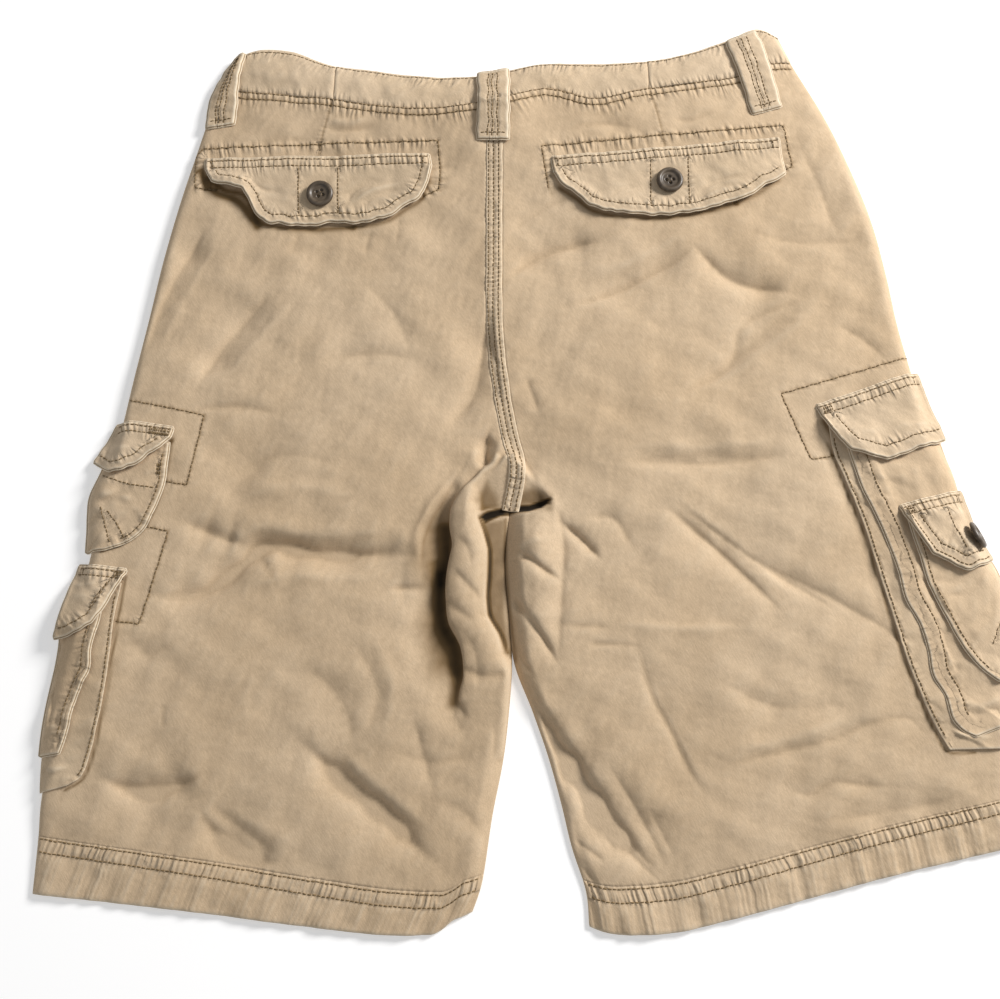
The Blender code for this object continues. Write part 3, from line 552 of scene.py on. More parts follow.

# %% [markdown]
# ## The cloth's colour
#
# The cloth is a cotton twill, dyed tan and washed many times. Up close it is a fine
# diagonal rib of paler and darker yarns. From further off it is mottled, because the dye
# has gone unevenly, and the edges of flaps, loops and seams have rubbed to cream. Shade is
# painted into the colour as well: brown in the gaps between drawn puckers and wherever a
# point's number for the materials is below zero, and near black in the deepest slits. One
# function makes every cloth material, so all pieces share one dye and differ only in how
# much they have faded. The patterns are procedural and follow the object's own
# coordinates, so the rib keeps its true size on every piece.

# %% Cloth materials
RIB_SCALE = 1500.0       # ribs of the twill to a metre, about
PULL_SCALE = 0.31        # narrow puckers to each millimetre of a seam, about
WAVE_TURNS = 20.0        # radians for each unit of a Wave texture's scale
CREAM = (0.74, 0.64, 0.49)
# the colour of painted shade
SHADE_BROWN = (0.19, 0.118, 0.052)


def feed(socket, value):
    """Link a socket to another one, or set it to a number, a direction or a colour."""
    if isinstance(value, bpy.types.NodeSocket):
        socket.id_data.links.new(value, socket)
    elif socket.type == "RGBA":
        socket.default_value = (*value, 1.0)
    else:
        socket.default_value = value


def dial(made, **inputs):
    """Feed a node's sockets by name, with _ for a space."""
    for name, value in inputs.items():
        feed(made.inputs[name.replace("_", " ")], value)
    return made


def node(tree, kind, **inputs):
    return dial(tree.nodes.new("ShaderNode" + kind), **inputs)


def new_material(name):
    """A material, its node tree, its shader, and the place on the object as a socket."""
    made = bpy.data.materials.new(name)
    made.use_nodes = True
    tree = made.node_tree
    place = node(tree, "TexCoord").outputs["Object"]
    return made, tree, tree.nodes["Principled BSDF"], place


def mixed(tree, share, a, b, mode="MIX"):
    """Mix two colours. Each is a colour or a socket."""
    made = node(tree, "Mix")
    made.data_type = "RGBA"
    made.blend_type = mode
    for k, value in ((0, share), (6, a), (7, b)):
        feed(made.inputs[k], value)
    return made.outputs[2]


def ranged(tree, value, low, high, to_low=0.0, to_high=1.0):
    return node(tree, "MapRange", Value=value, From_Min=low, From_Max=high, To_Min=to_low,
                To_Max=to_high).outputs["Result"]


def reckoned(tree, operation, *values):
    """The sum or the product of two values."""
    made = node(tree, "Math")
    made.operation = operation
    made.use_clamp = operation == "MULTIPLY"
    for socket, value in zip(made.inputs, values):
        feed(socket, value)
    return made.outputs[0]


def product(tree, *values):
    return reckoned(tree, "MULTIPLY", *values)


def carried(tree, layer):
    """A number that the mesh carries at its points."""
    made = node(tree, "Attribute")
    made.attribute_name = layer
    return made.outputs["Fac"]


def noise(tree, place, scale, detail=3.0, roughness=0.55):
    return node(tree, "TexNoise", Vector=place, Scale=scale, Detail=detail,
                Roughness=roughness).outputs["Fac"]


def turned(tree, place, angle, stretch=(1.0, 1.0, 1.0)):
    made = node(tree, "Mapping")
    made.vector_type = "TEXTURE"
    dial(made, Vector=place, Rotation=(0.0, 0.0, angle), Scale=stretch)
    return made.outputs["Vector"]


def bumped(tree, height, distance, strength, **under):
    return node(tree, "Bump", Height=height, Strength=strength, Distance=distance,
                **under).outputs["Normal"]


def cloth(name, colour, faded, shaded, crumple=0.3, rib=0.5):
    """A washed cotton twill: ribs, flecks, uneven dye, drawn seams, edges rubbed pale, and painted shade.
    """
    made, tree, shader, place = new_material(name)
    tone = mixed(tree, ranged(tree, noise(tree, place, 8.0, 3.0), 0.36, 0.66), colour, faded)
    blotch = ranged(tree, noise(tree, place, 34.0, 4.0, 0.6), 0.5, 0.8, 0.0, 0.3)
    tone = mixed(tree, blotch, tone, shaded)
    grain = ranged(tree, noise(tree, place, 1900.0, 2.0, 0.6), 0.3, 0.7, 0.9, 1.09)
    tone = mixed(tree, 1.0, tone, grain, "MULTIPLY")
    slanted = turned(tree, place, math.radians(32.0), (1.0, 7.0, 1.0))
    ribs = noise(tree, slanted, RIB_SCALE, 1.0)
    tone = mixed(tree, 1.0, tone, ranged(tree, ribs, 0.32, 0.68, 0.93, 1.06), "MULTIPLY")

    along, pull = carried(tree, "along"), carried(tree, "pull")
    wobble = ranged(tree, noise(tree, place, 70.0, 1.0), 0.25, 0.75, -1.0, 1.0)
    drawn = node(tree, "TexNoise", Scale=PULL_SCALE, Detail=0.0)
    drawn.noise_dimensions = "1D"
    dial(drawn, W=reckoned(tree, "ADD", along, wobble))
    held = product(tree, pull, ranged(tree, noise(tree, place, 95.0, 1.0), 0.32, 0.55, 0.25, 1.0))
    ridges = product(tree, ranged(tree, drawn.outputs["Fac"], 0.28, 0.6), held)
    # painted shade in the gaps between the drawn puckers
    pucker_shade = product(tree, ranged(tree, drawn.outputs["Fac"], 0.45, 0.2), held)
    tone = mixed(tree, product(tree, pucker_shade, 0.15), tone, SHADE_BROWN)

    # one number at each point: above zero the cloth is rubbed pale, below zero shade is painted in
    wear_and_shade = carried(tree, "wear_and_shade")
    rubbed = ranged(tree, noise(tree, place, 420.0, 3.0, 0.7), 0.25, 0.7, 0.55, 1.25)
    tone = mixed(tree, product(tree, wear_and_shade, rubbed), tone, CREAM)
    # below zero the number is painted shade: brown, then near black in the deepest slits
    tone = mixed(tree, ranged(tree, wear_and_shade, 0.0, -1.0), tone, SHADE_BROWN)
    tone = mixed(tree, ranged(tree, wear_and_shade, -1.0, -2.0), tone, (0.02, 0.014, 0.008))
    soft = bumped(tree, noise(tree, place, 75.0, 4.0, 0.5), 0.0014, crumple)
    gathered = bumped(tree, ridges, 0.0011, 1.0, Normal=soft)
    fine = bumped(tree, ribs, 0.00016, rib, Normal=gathered)
    dial(shader, Base_Color=tone, Normal=fine, Roughness=0.93, Specular_IOR_Level=0.12,
         Sheen_Weight=0.06, Sheen_Roughness=0.5)
    return made


PANEL = cloth("washed tan twill", (0.555, 0.41, 0.262), (0.605, 0.46, 0.308), (0.49, 0.36, 0.23))
DOUBLED = cloth("doubled tan twill", (0.565, 0.43, 0.285), (0.63, 0.49, 0.34),
                (0.48, 0.355, 0.225), crumple=0.5)
GUSSET = cloth("gusset twill", (0.535, 0.398, 0.256), (0.60, 0.463, 0.313), (0.45, 0.33, 0.208))
UNDERSIDE = cloth("front twill", (0.545, 0.415, 0.272), (0.60, 0.47, 0.325), (0.48, 0.355, 0.23),
                  crumple=0.3)
print("cloth materials:", [m.name for m in (PANEL, DOUBLED, GUSSET, UNDERSIDE)])

# %% [markdown]
# ## The sewing
#
# The seams are sewn in a brown thread about half a millimetre thick, with three stitches
# to the centimetre, and the thread dips into the cloth at each needle hole. An image or a
# dashed pattern would lie flat, so every stitch is a small spindle of its own, laid on
# the finished cloth. All stitches of one seam group are joined into one object.

# %% Thread and stitches
STITCH = 3.1             # from one needle hole to the next
THREAD = 0.86            # thickness
DIP = 0.12               # how deep the ends of a stitch go into the cloth
ARCH = 0.14              # how high its middle stands
ON_CLOTH = 0.3           # anything lower is the floor, where nothing is sewn

# the faces of one stitch: four corners at each of four places along it
SPINDLE = np.array([
    *[face for a in (0, 4, 8) for q in range(4)
      for face in ((a + q, a + (q + 1) % 4, a + (q + 1) % 4 + 4), (a + q, a + (q + 1) % 4 + 4, a + q + 4))],
    (2, 1, 0), (3, 2, 0), (12, 13, 14), (12, 14, 15)])


def thread_material():
    made, tree, shader, place = new_material("brown sewing thread")
    shade = ranged(tree, noise(tree, place, 160.0, 2.0), 0.3, 0.7)
    twist = node(tree, "TexWave", Vector=turned(tree, place, 0.8), Distortion=0.5,
                 Scale=math.tau / WAVE_TURNS / 0.0005)
    dial(shader, Base_Color=mixed(tree, shade, (0.14, 0.088, 0.034), (0.24, 0.158, 0.067)),
         Normal=bumped(tree, twist.outputs["Fac"], 0.0001, 0.5), Roughness=0.62)
    return made


THREAD_BROWN = thread_material()


def stitches(rows, seed, pitch=STITCH, thick=THREAD):
    """Points and faces for the stitches of several rows, laid on what is there now."""
    draw = np.random.default_rng(seed)
    points = []
    for row in rows:
        knots = travel(row)
        count = max(1, int(round(knots[-1] / pitch)))
        at = np.linspace(0.0, knots[-1], 2 * count + 1)
        holes = np.stack([np.interp(at, knots, row[:, i]) for i in (0, 1)], 1)
        wander = uneven(knots[-1], 9.0, seed + 5, at) * 0.28
        wander = wander + draw.uniform(-0.14, 0.14, len(at)) * (pitch < 5.0)
        holes = holes + left_of(holes) * wander[:, None]
        for k in range(count):
            first, centre, last = holes[2 * k:2 * k + 3]
            spots = np.array([first * 0.86 + centre * 0.14, centre, last * 0.86 + centre * 0.14])
            (start, _), (centre, facing), (finish, _) = [touch(float(a), float(b)) for a, b in spots]
            up = np.array(facing) * 0.7 + np.array([0.0, 0.0, 0.3])
            middle = max(centre, (start + finish) / 2.0)
            path = np.array([
                [*spots[0], start - DIP],
                [*(spots[0] * 0.66 + spots[1] * 0.34), (start + middle) / 2.0 + ARCH],
                [*(spots[2] * 0.66 + spots[1] * 0.34), (finish + middle) / 2.0 + ARCH],
                [*spots[2], finish - DIP]])
            run = path[-1] - path[0]
            if min(start, centre, finish) <= ON_CLOTH or np.linalg.norm(run) > 2.5 * pitch:
                continue
            side = unit(np.cross(run, up))
            over = unit(np.cross(side, run))
            ring = []
            for station, width in zip(path, (0.42, 1.0, 1.0, 0.42)):
                half = thick / 2.0 * width
                ring += [station + side * half, station + over * half,
                         station - side * half, station - over * half]
            points.append(ring)
    faces = np.arange(len(points))[:, None, None] * 16 + SPINDLE
    return np.array(points).reshape(-1, 3), faces.reshape(-1, 3)


sewn = {}


def sew(group, rows, seed=0, pitch=STITCH, thick=THREAD):
    """Add rows of stitches to a group. They are laid on the pieces that are there now."""
    points, faces = stitches([np.asarray(row, float) for row in rows], seed, pitch, thick)
    old_points, old_faces = sewn.get(group, (np.zeros((0, 3)), np.zeros((0, 3), int)))
    sewn[group] = (np.vstack([old_points, points]), np.vstack([old_faces, faces + len(old_points)]))


print("a hem of 290 mm takes", round(290 / STITCH), "stitches to a row")

# %% [markdown]
# ## The two back panels
#
# These are the main cloth of the shorts, and they lie puffed over the fronts. Each panel
# is read from stations down the leg: where its inner and outer edges are and how high the
# cloth stands. A cloth simulation would drop the garment in some other lie each time its
# settings change, so the folds are placed one by one instead: wide soft ones first, as in
# the solids, then narrow creases, then the gathered roll at each inner thigh.

# %% Sizes of the garment
CLOTH = 1.3              # one layer, washed
DOUBLE = 1.8             # two layers, sewn together
GAP = 0.35               # air between a piece and what it lies on
SEAM_GAP = 0.12          # between two panels that meet at a seam
HEM_DEPTH = 30.0
SIDE_TURN = 9.0          # how far the cloth takes to turn down at the outer side
INSEAM_TURN = 5.0
INSEAM_RISE = 16.0       # from the inseam to the full height of the thigh
SEAT_REACH = 45.0        # how far the seat seam holds the cloth down or up
WAIST_REACH = 60.0       # how far down the curve of the waist shows, and the height it gives
LIFT_REACH = 55.0
HEM_REACH = 85.0
BACK_INSIDE = 1.4        # the backs rest on the fronts all round
PANEL_RIM = 2.25         # height of a back's edge, and of its lowest hollow
BACK_LOWEST = 2.95
HEM_STITCHES = (28.4, 20.6)     # the two rows, from the hem's fold
SHARP_DEPTH = 1.15       # how much deeper the narrow creases are than the table says

WAIST_SEAM = [
    # x, y, z
    (-229, 273, 5), (-212, 269, 7), (-180, 265, 9), (-148, 261, 11), (-118, 256, 12), (-89, 252, 13),
    (-60, 252, 14), (-38, 254, 15), (-13, 259, 15), (13, 267, 14), (45, 260, 13), (85, 268, 12),
    (120, 274, 11), (154, 280, 9), (179, 291, 7), (195, 294, 5),
]
WAIST_TOP = [
    # x, y, z
    (-216, 298, 4), (-204, 303, 5), (-176, 302, 6), (-147, 291, 6), (-119, 287, 6), (-91, 283, 6),
    (-62, 281, 6), (-38, 282, 6), (-13, 287, 6), (10, 292, 6), (42, 292, 6), (85, 294, 6),
    (117, 300, 6), (148, 311, 6), (172, 321, 5), (186, 315, 4),
]
STATIONS = {
    # inner_x, inner_y, outer_x, outer_y, height at the seat seam, crown, leg
    "left": [
        (-26, 256, -229, 273, 15, 11, 0), (-25, 219, -242, 223, 12, 10, 0),
        (-25, 180, -252, 184, 11, 9, 0), (-25, 135, -262, 138, 10, 9, 0), (-25, 90, -270, 92, 9, 9, 0),
        (-21, 46, -278, 48, 8.5, 9.5, 0), (-15, 10, -284, 12, 7, 10, 0),
        (-9, -17, -289, -17, 5.5, 10, 0.1), (-14, -46, -294, -47, 4, 10, 0.7),
        (-17.6, -80, -300, -80, 4, 10, 1), (-15.4, -114, -305, -113, 4, 10, 1),
        (-13, -147, -311, -144, 4, 10, 1), (-15, -180, -315, -177, 4, 9, 1),
        (-19, -213, -318, -210, 4, 8.5, 1), (-26, -248, -321, -240, 4, 7.5, 1),
        (-33, -291, -321, -267, 4, 5.5, 1), (-38.8, -308, -322, -297, 4, 4.4, 1),
    ],
    "right": [
        (-26, 256, 195, 294, 15, 11, 0), (-25, 219, 217, 251, 12, 10, 0),
        (-25, 180, 233, 211, 11, 9, 0), (-25, 135, 247, 167, 10, 9, 0), (-25, 90, 255, 126, 9, 9, 0),
        (-21, 46, 261, 85, 8.5, 9.5, 0), (-15, 10, 270, 42, 7, 10, 0), (-9, -17, 277, 4, 5.5, 10, 0.1),
        (-14, -46, 284, -31, 4, 10, 0.7), (-17.4, -80, 293, -66, 4, 10, 1),
        (-15.2, -114, 300, -100, 4, 10, 1), (-11.2, -150, 306, -133, 4, 10, 1),
        (1, -182, 310, -161, 4, 9.5, 1), (11, -211, 312, -184, 4, 9, 1),
        (19, -240, 313, -205, 4, 8.5, 1), (26, -269, 312, -224, 4, 7.5, 1),
        (34.5, -295, 312, -242, 4, 5.5, 1), (36.5, -317, 311, -268, 4, 4.4, 1),
    ],
}
HEM_EDGE = {
    "left": [
        (-38.8, -308), (-45, -310.8), (-52, -313.6), (-57, -318), (-62, -321), (-72, -322.2),
        (-90, -322.2), (-145, -317), (-210, -309), (-274, -302), (-322, -297),
    ],
    "right": [
        (36.5, -317), (42, -319.2), (50, -321.2), (70, -322), (92, -320.5), (124, -313.5), (158, -305),
        (223, -288), (289, -273), (311, -268),
    ],
}
print("panels:", {side: len(rows) for side, rows in STATIONS.items()}, "stations")

# %% Wide folds and narrow creases of the backs
SOFT_FOLDS = {
    # width, height, points
    "left": [
        (11, -6, [(-260, -105), (-223, -101), (-177, -70), (-136, -75), (-75, -77)]),
        (12, -4.5, [(-279, -226), (-251, -234), (-217, -224)]),
        (12, -4, [(-212, -240), (-185, -259), (-163, -276)]),
        (12, -5, [(-148, -205), (-126, -224), (-94, -247), (-68, -272)]),
        (13, -3, [(-26, 97), (-35, 62), (-49, 23), (-60, 8)]),
        (14, -3.5, [(-182, 112), (-218, 67), (-231, 42)]),
        (13, -3.5, [(-232, 162), (-254, 116), (-278, 47)]),
        (26, -3.5, [(-215, 10), (-180, -25)]),
        (12, -3, [(-226, -57), (-198, -66)]),
    ],
    "right": [
        (12, -7, [(-3, -169), (18, -208), (44, -238), (69, -272), (84, -286)]),
        (11, -2.2, [(28, -228), (46, -268)]),
        (14, 4.5, [(12, -34), (3, -66), (4, -107), (8, -148)]),
        (12, -1.8, [(93, -44), (128, -75), (160, -108)]),
        (12, -1.4, [(102, -44), (150, -78), (196, -108)]),
        (12, -1.6, [(73, -139), (89, -179), (110, -217)]),
        (13, -3, [(113, 147), (88, 127), (31, 101)]),
        (12, -3.5, [(-16, 121), (3, 137), (51, 152)]),
        (14, -3.5, [(182, 97), (143, 62), (109, 38)]),
        (13, -3, [(117, 147), (145, 121), (183, 112)]),
        (13, -2.5, [(62, -10), (177, -8)]),
        (13, -1.2, [(123, -213), (175, -230), (219, -226)]),
    ],
}
CREASES = {
    # left_width, right_width, height, points
    "left": [
        (5, 11, -3.6, [(-262, -101), (-249, -106), (-228, -106), (-214, -98), (-194, -83), (-184, -72),
            (-163, -74), (-136, -78), (-84, -72)]),
        (9, 6, 1.8, [(-212, -82), (-190, -60), (-150, -63), (-96, -60)]),
        (8, 5, 1.4, [(-196, -98), (-160, -92), (-104, -94)]),
        (4, 8, -2.4, [(-238, -53), (-213, -64), (-190, -71)]),
        (3, 5, -2.4, [(-96, -100), (-60, -98)]),
        (7, 4, -2.6, [(-283, -224), (-251, -235), (-214, -222)]),
        (5, 8, -3.4, [(-218, -243), (-203, -262), (-187, -271), (-162, -280)]),
        (6, 9, 1.2, [(-200, -244), (-178, -256), (-150, -268)]),
        (5, 9, -3.4, [(-152, -200), (-135, -216), (-122, -228), (-111, -238), (-94, -250), (-80, -264),
            (-62, -277)]),
        (7, 6, 1.5, [(-126, -206), (-98, -232), (-66, -256)]),
        (5, 9, -2, [(-29, 105), (-33, 70), (-42, 31), (-58, 14)]),
        (7, 7, -1.6, [(-180, 114), (-218, 67), (-233, 40)]),
        (6, 6, 0.9, [(-166, 108), (-203, 62), (-216, 44)]),
        (6, 6, -1.8, [(-230, 165), (-254, 116), (-276, 52)]),
        (5, 6, 1, [(-222, 152), (-243, 112), (-262, 66)]),
        (4, 5, -1.2, [(-78, -185), (-65, -232)]),
        (4, 6, -1.5, [(-236, 25), (-205, 27), (-170, 22)]),
        (1.6, 1.6, -0.8, [(-243, -175), (-243, -194)]),
        (6, 6, -1.3, [(-268, -131), (-257, -144), (-235, -135)]),
        (4, 4, 0.8, [(-194, -180), (-182, -156)]),
        (5, 5, -1.1, [(-118, -136), (-102, -168), (-108, -198)]),
        (5, 5, 0.8, [(-106, -132), (-92, -166), (-98, -196)]),
        (3.4, 3, -1.1, [(-208, 225), (-182, 228), (-158, 229)]),
        (3, 4, -1.3, [(-152, 240), (-140, 236), (-125, 236), (-110, 241)]),
        (3, 3, 0.9, [(-146, 243), (-129, 241), (-117, 245)]),
        (4, 4, -0.9, [(-164, 158), (-170, 138)]),
        (4, 4, -0.9, [(-113, 158), (-118, 139)]),
        (4, 4, -0.7, [(-93, 168), (-95, 148)]),
        (3.5, 6, -2.4, [(-27, 7), (-31, -8), (-29, -18)]),
        (6, 4, 1.8, [(-22, 8), (-22, -6), (-30, -20), (-38, -34)]),
        (5, 7, -1.4, [(-150, 60), (-110, 66), (-74, 60)]),
        (6, 6, -1.2, [(-205, -20), (-175, -8), (-130, -14)]),
        (5, 5, 0.9, [(-196, -36), (-160, -30), (-118, -36)]),
        (6, 6, -1.1, [(-120, 120), (-96, 96), (-84, 66)]),
        (8, 8, -1.3, [(-160, -128), (-196, -150), (-214, -186)]),
        (6, 8, -1.2, [(-150, -150), (-122, -182), (-118, -206)]),
        (6, 6, -1.2, [(-96, -206), (-60, -214), (-36, -208)]),
        (5, 5, -1, [(-64, -238), (-44, -246), (-32, -262)]),
    ],
    "right": [
        (4, 8, -2.8, [(-4, -166), (16, -201), (25, -214), (44, -248), (67, -276), (86, -293)]),
        (4, 6, -1.4, [(50, -216), (68, -245), (87, -282)]),
        (8, 6, 1.5, [(4, -168), (34, -212), (56, -246), (80, -280)]),
        (2, 2.6, -0.9, [(26, -263), (47, -277)]),
        (2, 2.6, -0.8, [(30, -280), (43, -292)]),
        (3, 4, -3, [(20, -54), (33, -65), (47, -80)]),
        (4, 4, -1.3, [(36, -51), (54, -51), (70, -74)]),
        (2.5, 3, -1, [(22, -125), (53, -126)]),
        (1.6, 2, -0.9, [(36, -137), (72, -138)]),
        (3, 4, 0.7, [(56, -124), (100, -127), (148, -126)]),
        (2.6, 6, -1.7, [(90, -42), (128, -75), (170, -118)]),
        (5, 5, 0.9, [(100, -38), (140, -72), (176, -106)]),
        (2.6, 5, -1.3, [(104, -44), (150, -80), (206, -116)]),
        (4, 6, -1.4, [(150, -80), (204, -108), (252, -137)]),
        (2, 4, -1.4, [(70, -134), (81, -174), (92, -195), (105, -223), (114, -236)]),
        (3.4, 6, -1.8, [(122, 151), (106, 137), (88, 127), (60, 112), (28, 100)]),
        (5, 5, 1.2, [(116, 160), (84, 140), (40, 122)]),
        (5, 6, -2, [(-18, 119), (3, 137), (54, 153)]),
        (6, 7, -1.8, [(-14, 156), (9, 174), (31, 185)]),
        (4, 6, -1.7, [(192, 106), (148, 83), (143, 62), (106, 36)]),
        (5, 5, 1, [(200, 96), (160, 66), (124, 40)]),
        (5, 6, -1.6, [(115, 149), (145, 121), (186, 111)]),
        (4, 6, -1.5, [(-3, 50), (6, 22)]),
        (4, 6, -1.5, [(60, -11), (120, -13), (180, -8)]),
        (5, 5, 0.9, [(66, -1), (120, -2), (176, 2)]),
        (2.2, 4, -1, [(113, -205), (128, -215), (143, -212), (170, -206), (198, -199), (227, -188),
            (247, -186), (263, -201)]),
        (5, 4, 1, [(128, -207), (170, -199), (225, -181)]),
        (2.4, 4, -1, [(164, -230), (181, -235), (196, -227), (215, -229), (237, -230)]),
        (6, 6, -1.3, [(76, -243), (91, -274)]),
        (2.6, 3.4, -1.5, [(-11, -72), (-1, -81), (17, -93)]),
        (3, 4.5, -1.7, [(-14, -103), (-3, -117), (17, -148)]),
        (3, 4, -1, [(103, 244), (117, 244), (137, 251)]),
        (3, 4, -1, [(30, 236), (52, 240), (78, 238)]),
        (4, 4, -0.8, [(196, 230), (208, 196), (222, 150)]),
        (5, 5, -1, [(150, 160), (186, 150), (236, 150)]),
        (6, 6, -1.1, [(196, 10), (222, -60), (236, -130)]),
        (7, 7, -1.3, [(120, -160), (160, -178), (214, -176)]),
        (6, 6, -1.1, [(180, -252), (230, -246), (284, -236)]),
        (4, 5, -1.1, [(216, 88), (236, 74), (250, 60)]),
    ],
}
print("narrow creases:", {side: len(rows) for side, rows in CREASES.items()})

# %% [markdown]
# ## The gathers at the crotch
#
# Below the seat seam the cloth of each thigh is pushed into a roll that stands up and
# leans outward over its own shadow. Behind the seam's end the cloth sinks away on both
# sides. Areas with soft edges make the roll and the hollows, and the points along the
# roll's outer edge are then slid sideways, so that the roll really overhangs.

# %% Rolls and hollows
ROLL_OUTER = [(-24, -7), (-30, -14), (-38, -23), (-46, -31), (-54, -45), (-55, -57), (-53, -71),
              (-55, -80), (-57, -94), (-57, -107), (-55, -123), (-47, -139), (-45, -158),
              (-48, -174), (-43, -183), (-35, -191)]
ROLL_INNER = [(-20, -8), (-23, -14), (-31, -21), (-36, -30), (-37, -40), (-33, -57), (-30, -73),
              (-30, -89), (-31, -107), (-30, -118), (-23, -130), (-19, -143), (-13, -156),
              (-13, -178), (-17, -192)]
LEFT_OF_ROLL = [(-60, -88), (-72, -92), (-78, -110), (-78, -134), (-70, -160), (-60, -182),
                (-48, -192), (-46, -174), (-43, -158), (-46, -139), (-54, -123), (-56, -107),
                (-55, -94)]
HOLLOWS = {
    # height, or y and height of a slope; softness; outline
    "left": [
        (6, 12, LEFT_OF_ROLL),
        (6.4, 9, [(-52, -30), (-60, -42), (-68, -60), (-70, -84), (-58, -90), (-52, -80), (-50, -50)]),
        (4.2, 1.4, [(-36, -50), (-32, -60), (-29, -73), (-29, -89), (-30, -107), (-29, -118),
            (-22, -130), (-18, -143), (-6, -120), (-6, -50), (-20, -46)]),
    ],
    "right": [],
}
ROLLS = {
    # y and height of the crest, widths of the climb and the drop, outline, crest
    "left": [(((-212, 7.5), (-190, 9.0), (-165, 12.0), (-130, 15.0), (-60, 16.0), (-20, 15.5),
               (-8, 13.0)), (14, 10),
              [*ROLL_OUTER, (-30, -212), (-10, -212), (-5, -156), *ROLL_INNER[-4::-1]], ROLL_INNER)],
    "right": [],
}
SLITS = {
    # y and height of the slope, softness, outline
    "left": [
        (((-48, 3.2), (-38, 5.0), (-24, 8.5), (-6, 12.5)), 1.8,
         [(-4, -4), (-18, -8), (-24, -16), (-31, -24), (-35, -34), (-34, -46), (-22, -45),
          (-4, -43)]),
        (3.2, 1.4, [(-34, -50), (-31, -54), (-21, -49), (-4, -47.5), (-4, -43), (-21, -44.5),
                    (-30, -47)]),
    ],
    "right": [
        (((-46, 3.2), (-38, 5.0), (-24, 8.5), (-8, 12.5)), 2.6,
         [(-20, -8), (-6, -12), (0, -22), (8, -34), (12, -41), (4, -42.5), (-20, -43)]),
        (3.2, 1.5, [(13.5, -38.5), (7, -44), (-2, -46.5), (-20, -47.5), (-20, -43.5), (-1, -42.5),
                    (6, -40.5)]),
    ],
}
PAINTED_HOLLOW_SHADE = {
    # painted shade in the deepest hollows, near black in the slits: softness, amount, outline
    "left": [
        (12, 0.75, [(-60, -36), (-74, -56), (-80, -84), (-72, -96), (-58, -94), (-53, -76),
            (-54, -56)]),
        (11, 0.9, [(-64, -88), (-74, -124), (-66, -156), (-46, -160), (-50, -134), (-56, -118),
            (-57, -96)]),
        (3.5, 0.75, [(-30, -26), (-37, -38), (-34, -50), (-20, -48), (-22, -38)]),
        (2, 0.7, [(-33, -54), (-18, -52), (-18, -118), (-14, -144), (-21, -130), (-29, -118),
            (-30, -90), (-29, -72)]),
        (1.2, 1.7, [(-34, -50), (-31, -54), (-21, -49.5), (-4, -48), (-4, -43), (-21, -44.5),
            (-30, -47)]),
    ],
    "right": [
        (3.5, 0.8, [(2, -30), (14, -36), (14, -46), (-20, -48), (-20, -36)]),
        (1.2, 1.7, [(13.5, -38), (7, -44), (-2, -47), (-20, -48), (-20, -43.5), (-1, -42.5), (6, -40)]),
    ],
}
LATE_CREASES = {
    # creases of the rolls themselves: left_width, right_width, height, points
    "left": [
        (2.2, 4.6, -1.5, [(-53, -86), (-45, -95), (-32, -109)]),
        (2.5, 3.6, -1.2, [(-60, -104), (-49, -115), (-38, -122)]),
        (3, 5, -1.8, [(-50, -150), (-34, -158), (-12, -156)]),
        (3, 15, -3.6, [(-47, -20), (-57, -45), (-57, -62), (-58, -82), (-60, -100), (-58, -122),
            (-49, -142), (-48, -160), (-50, -180)]),
        (9, 1.8, -3, [(-50, -20), (-59, -38), (-68, -53), (-73, -68), (-74, -86)]),
        (5, 3, 1.6, [(-56, -24), (-66, -40), (-75, -56), (-79, -74)]),
        (1.8, 4, -2.6, [(-28, 11), (-31, -2), (-29, -12), (-23, -13)]),
        (4, 4, 1.2, [(-38, 0), (-38, -12), (-34, -18)]),
        (3, 5, -1.4, [(-50, -64), (-43, -72), (-40, -86)]),
        (4, 4, -1.2, [(-46, -128), (-38, -142), (-36, -168)]),
    ],
    "right": [
        (2.2, 4.6, -1.8, [(-15, -83), (-3, -79), (8, -87), (21, -95)]),
        (3, 3, 1, [(-12, -74), (-3, -70), (9, -66)]),
        (2.4, 5.4, -1.9, [(-18, -100), (-5, -118), (6, -132), (18, -152)]),
        (3, 4, -1.2, [(-14, -132), (-7, -146), (2, -160)]),
        (3.4, 6.5, -2.2, [(13, -40), (20, -52), (22, -66), (21, -98), (19, -125), (18, -152)]),
        (4, 4, 1, [(-1, -14), (6, -26), (15, -40), (16, -60)]),
    ],
}
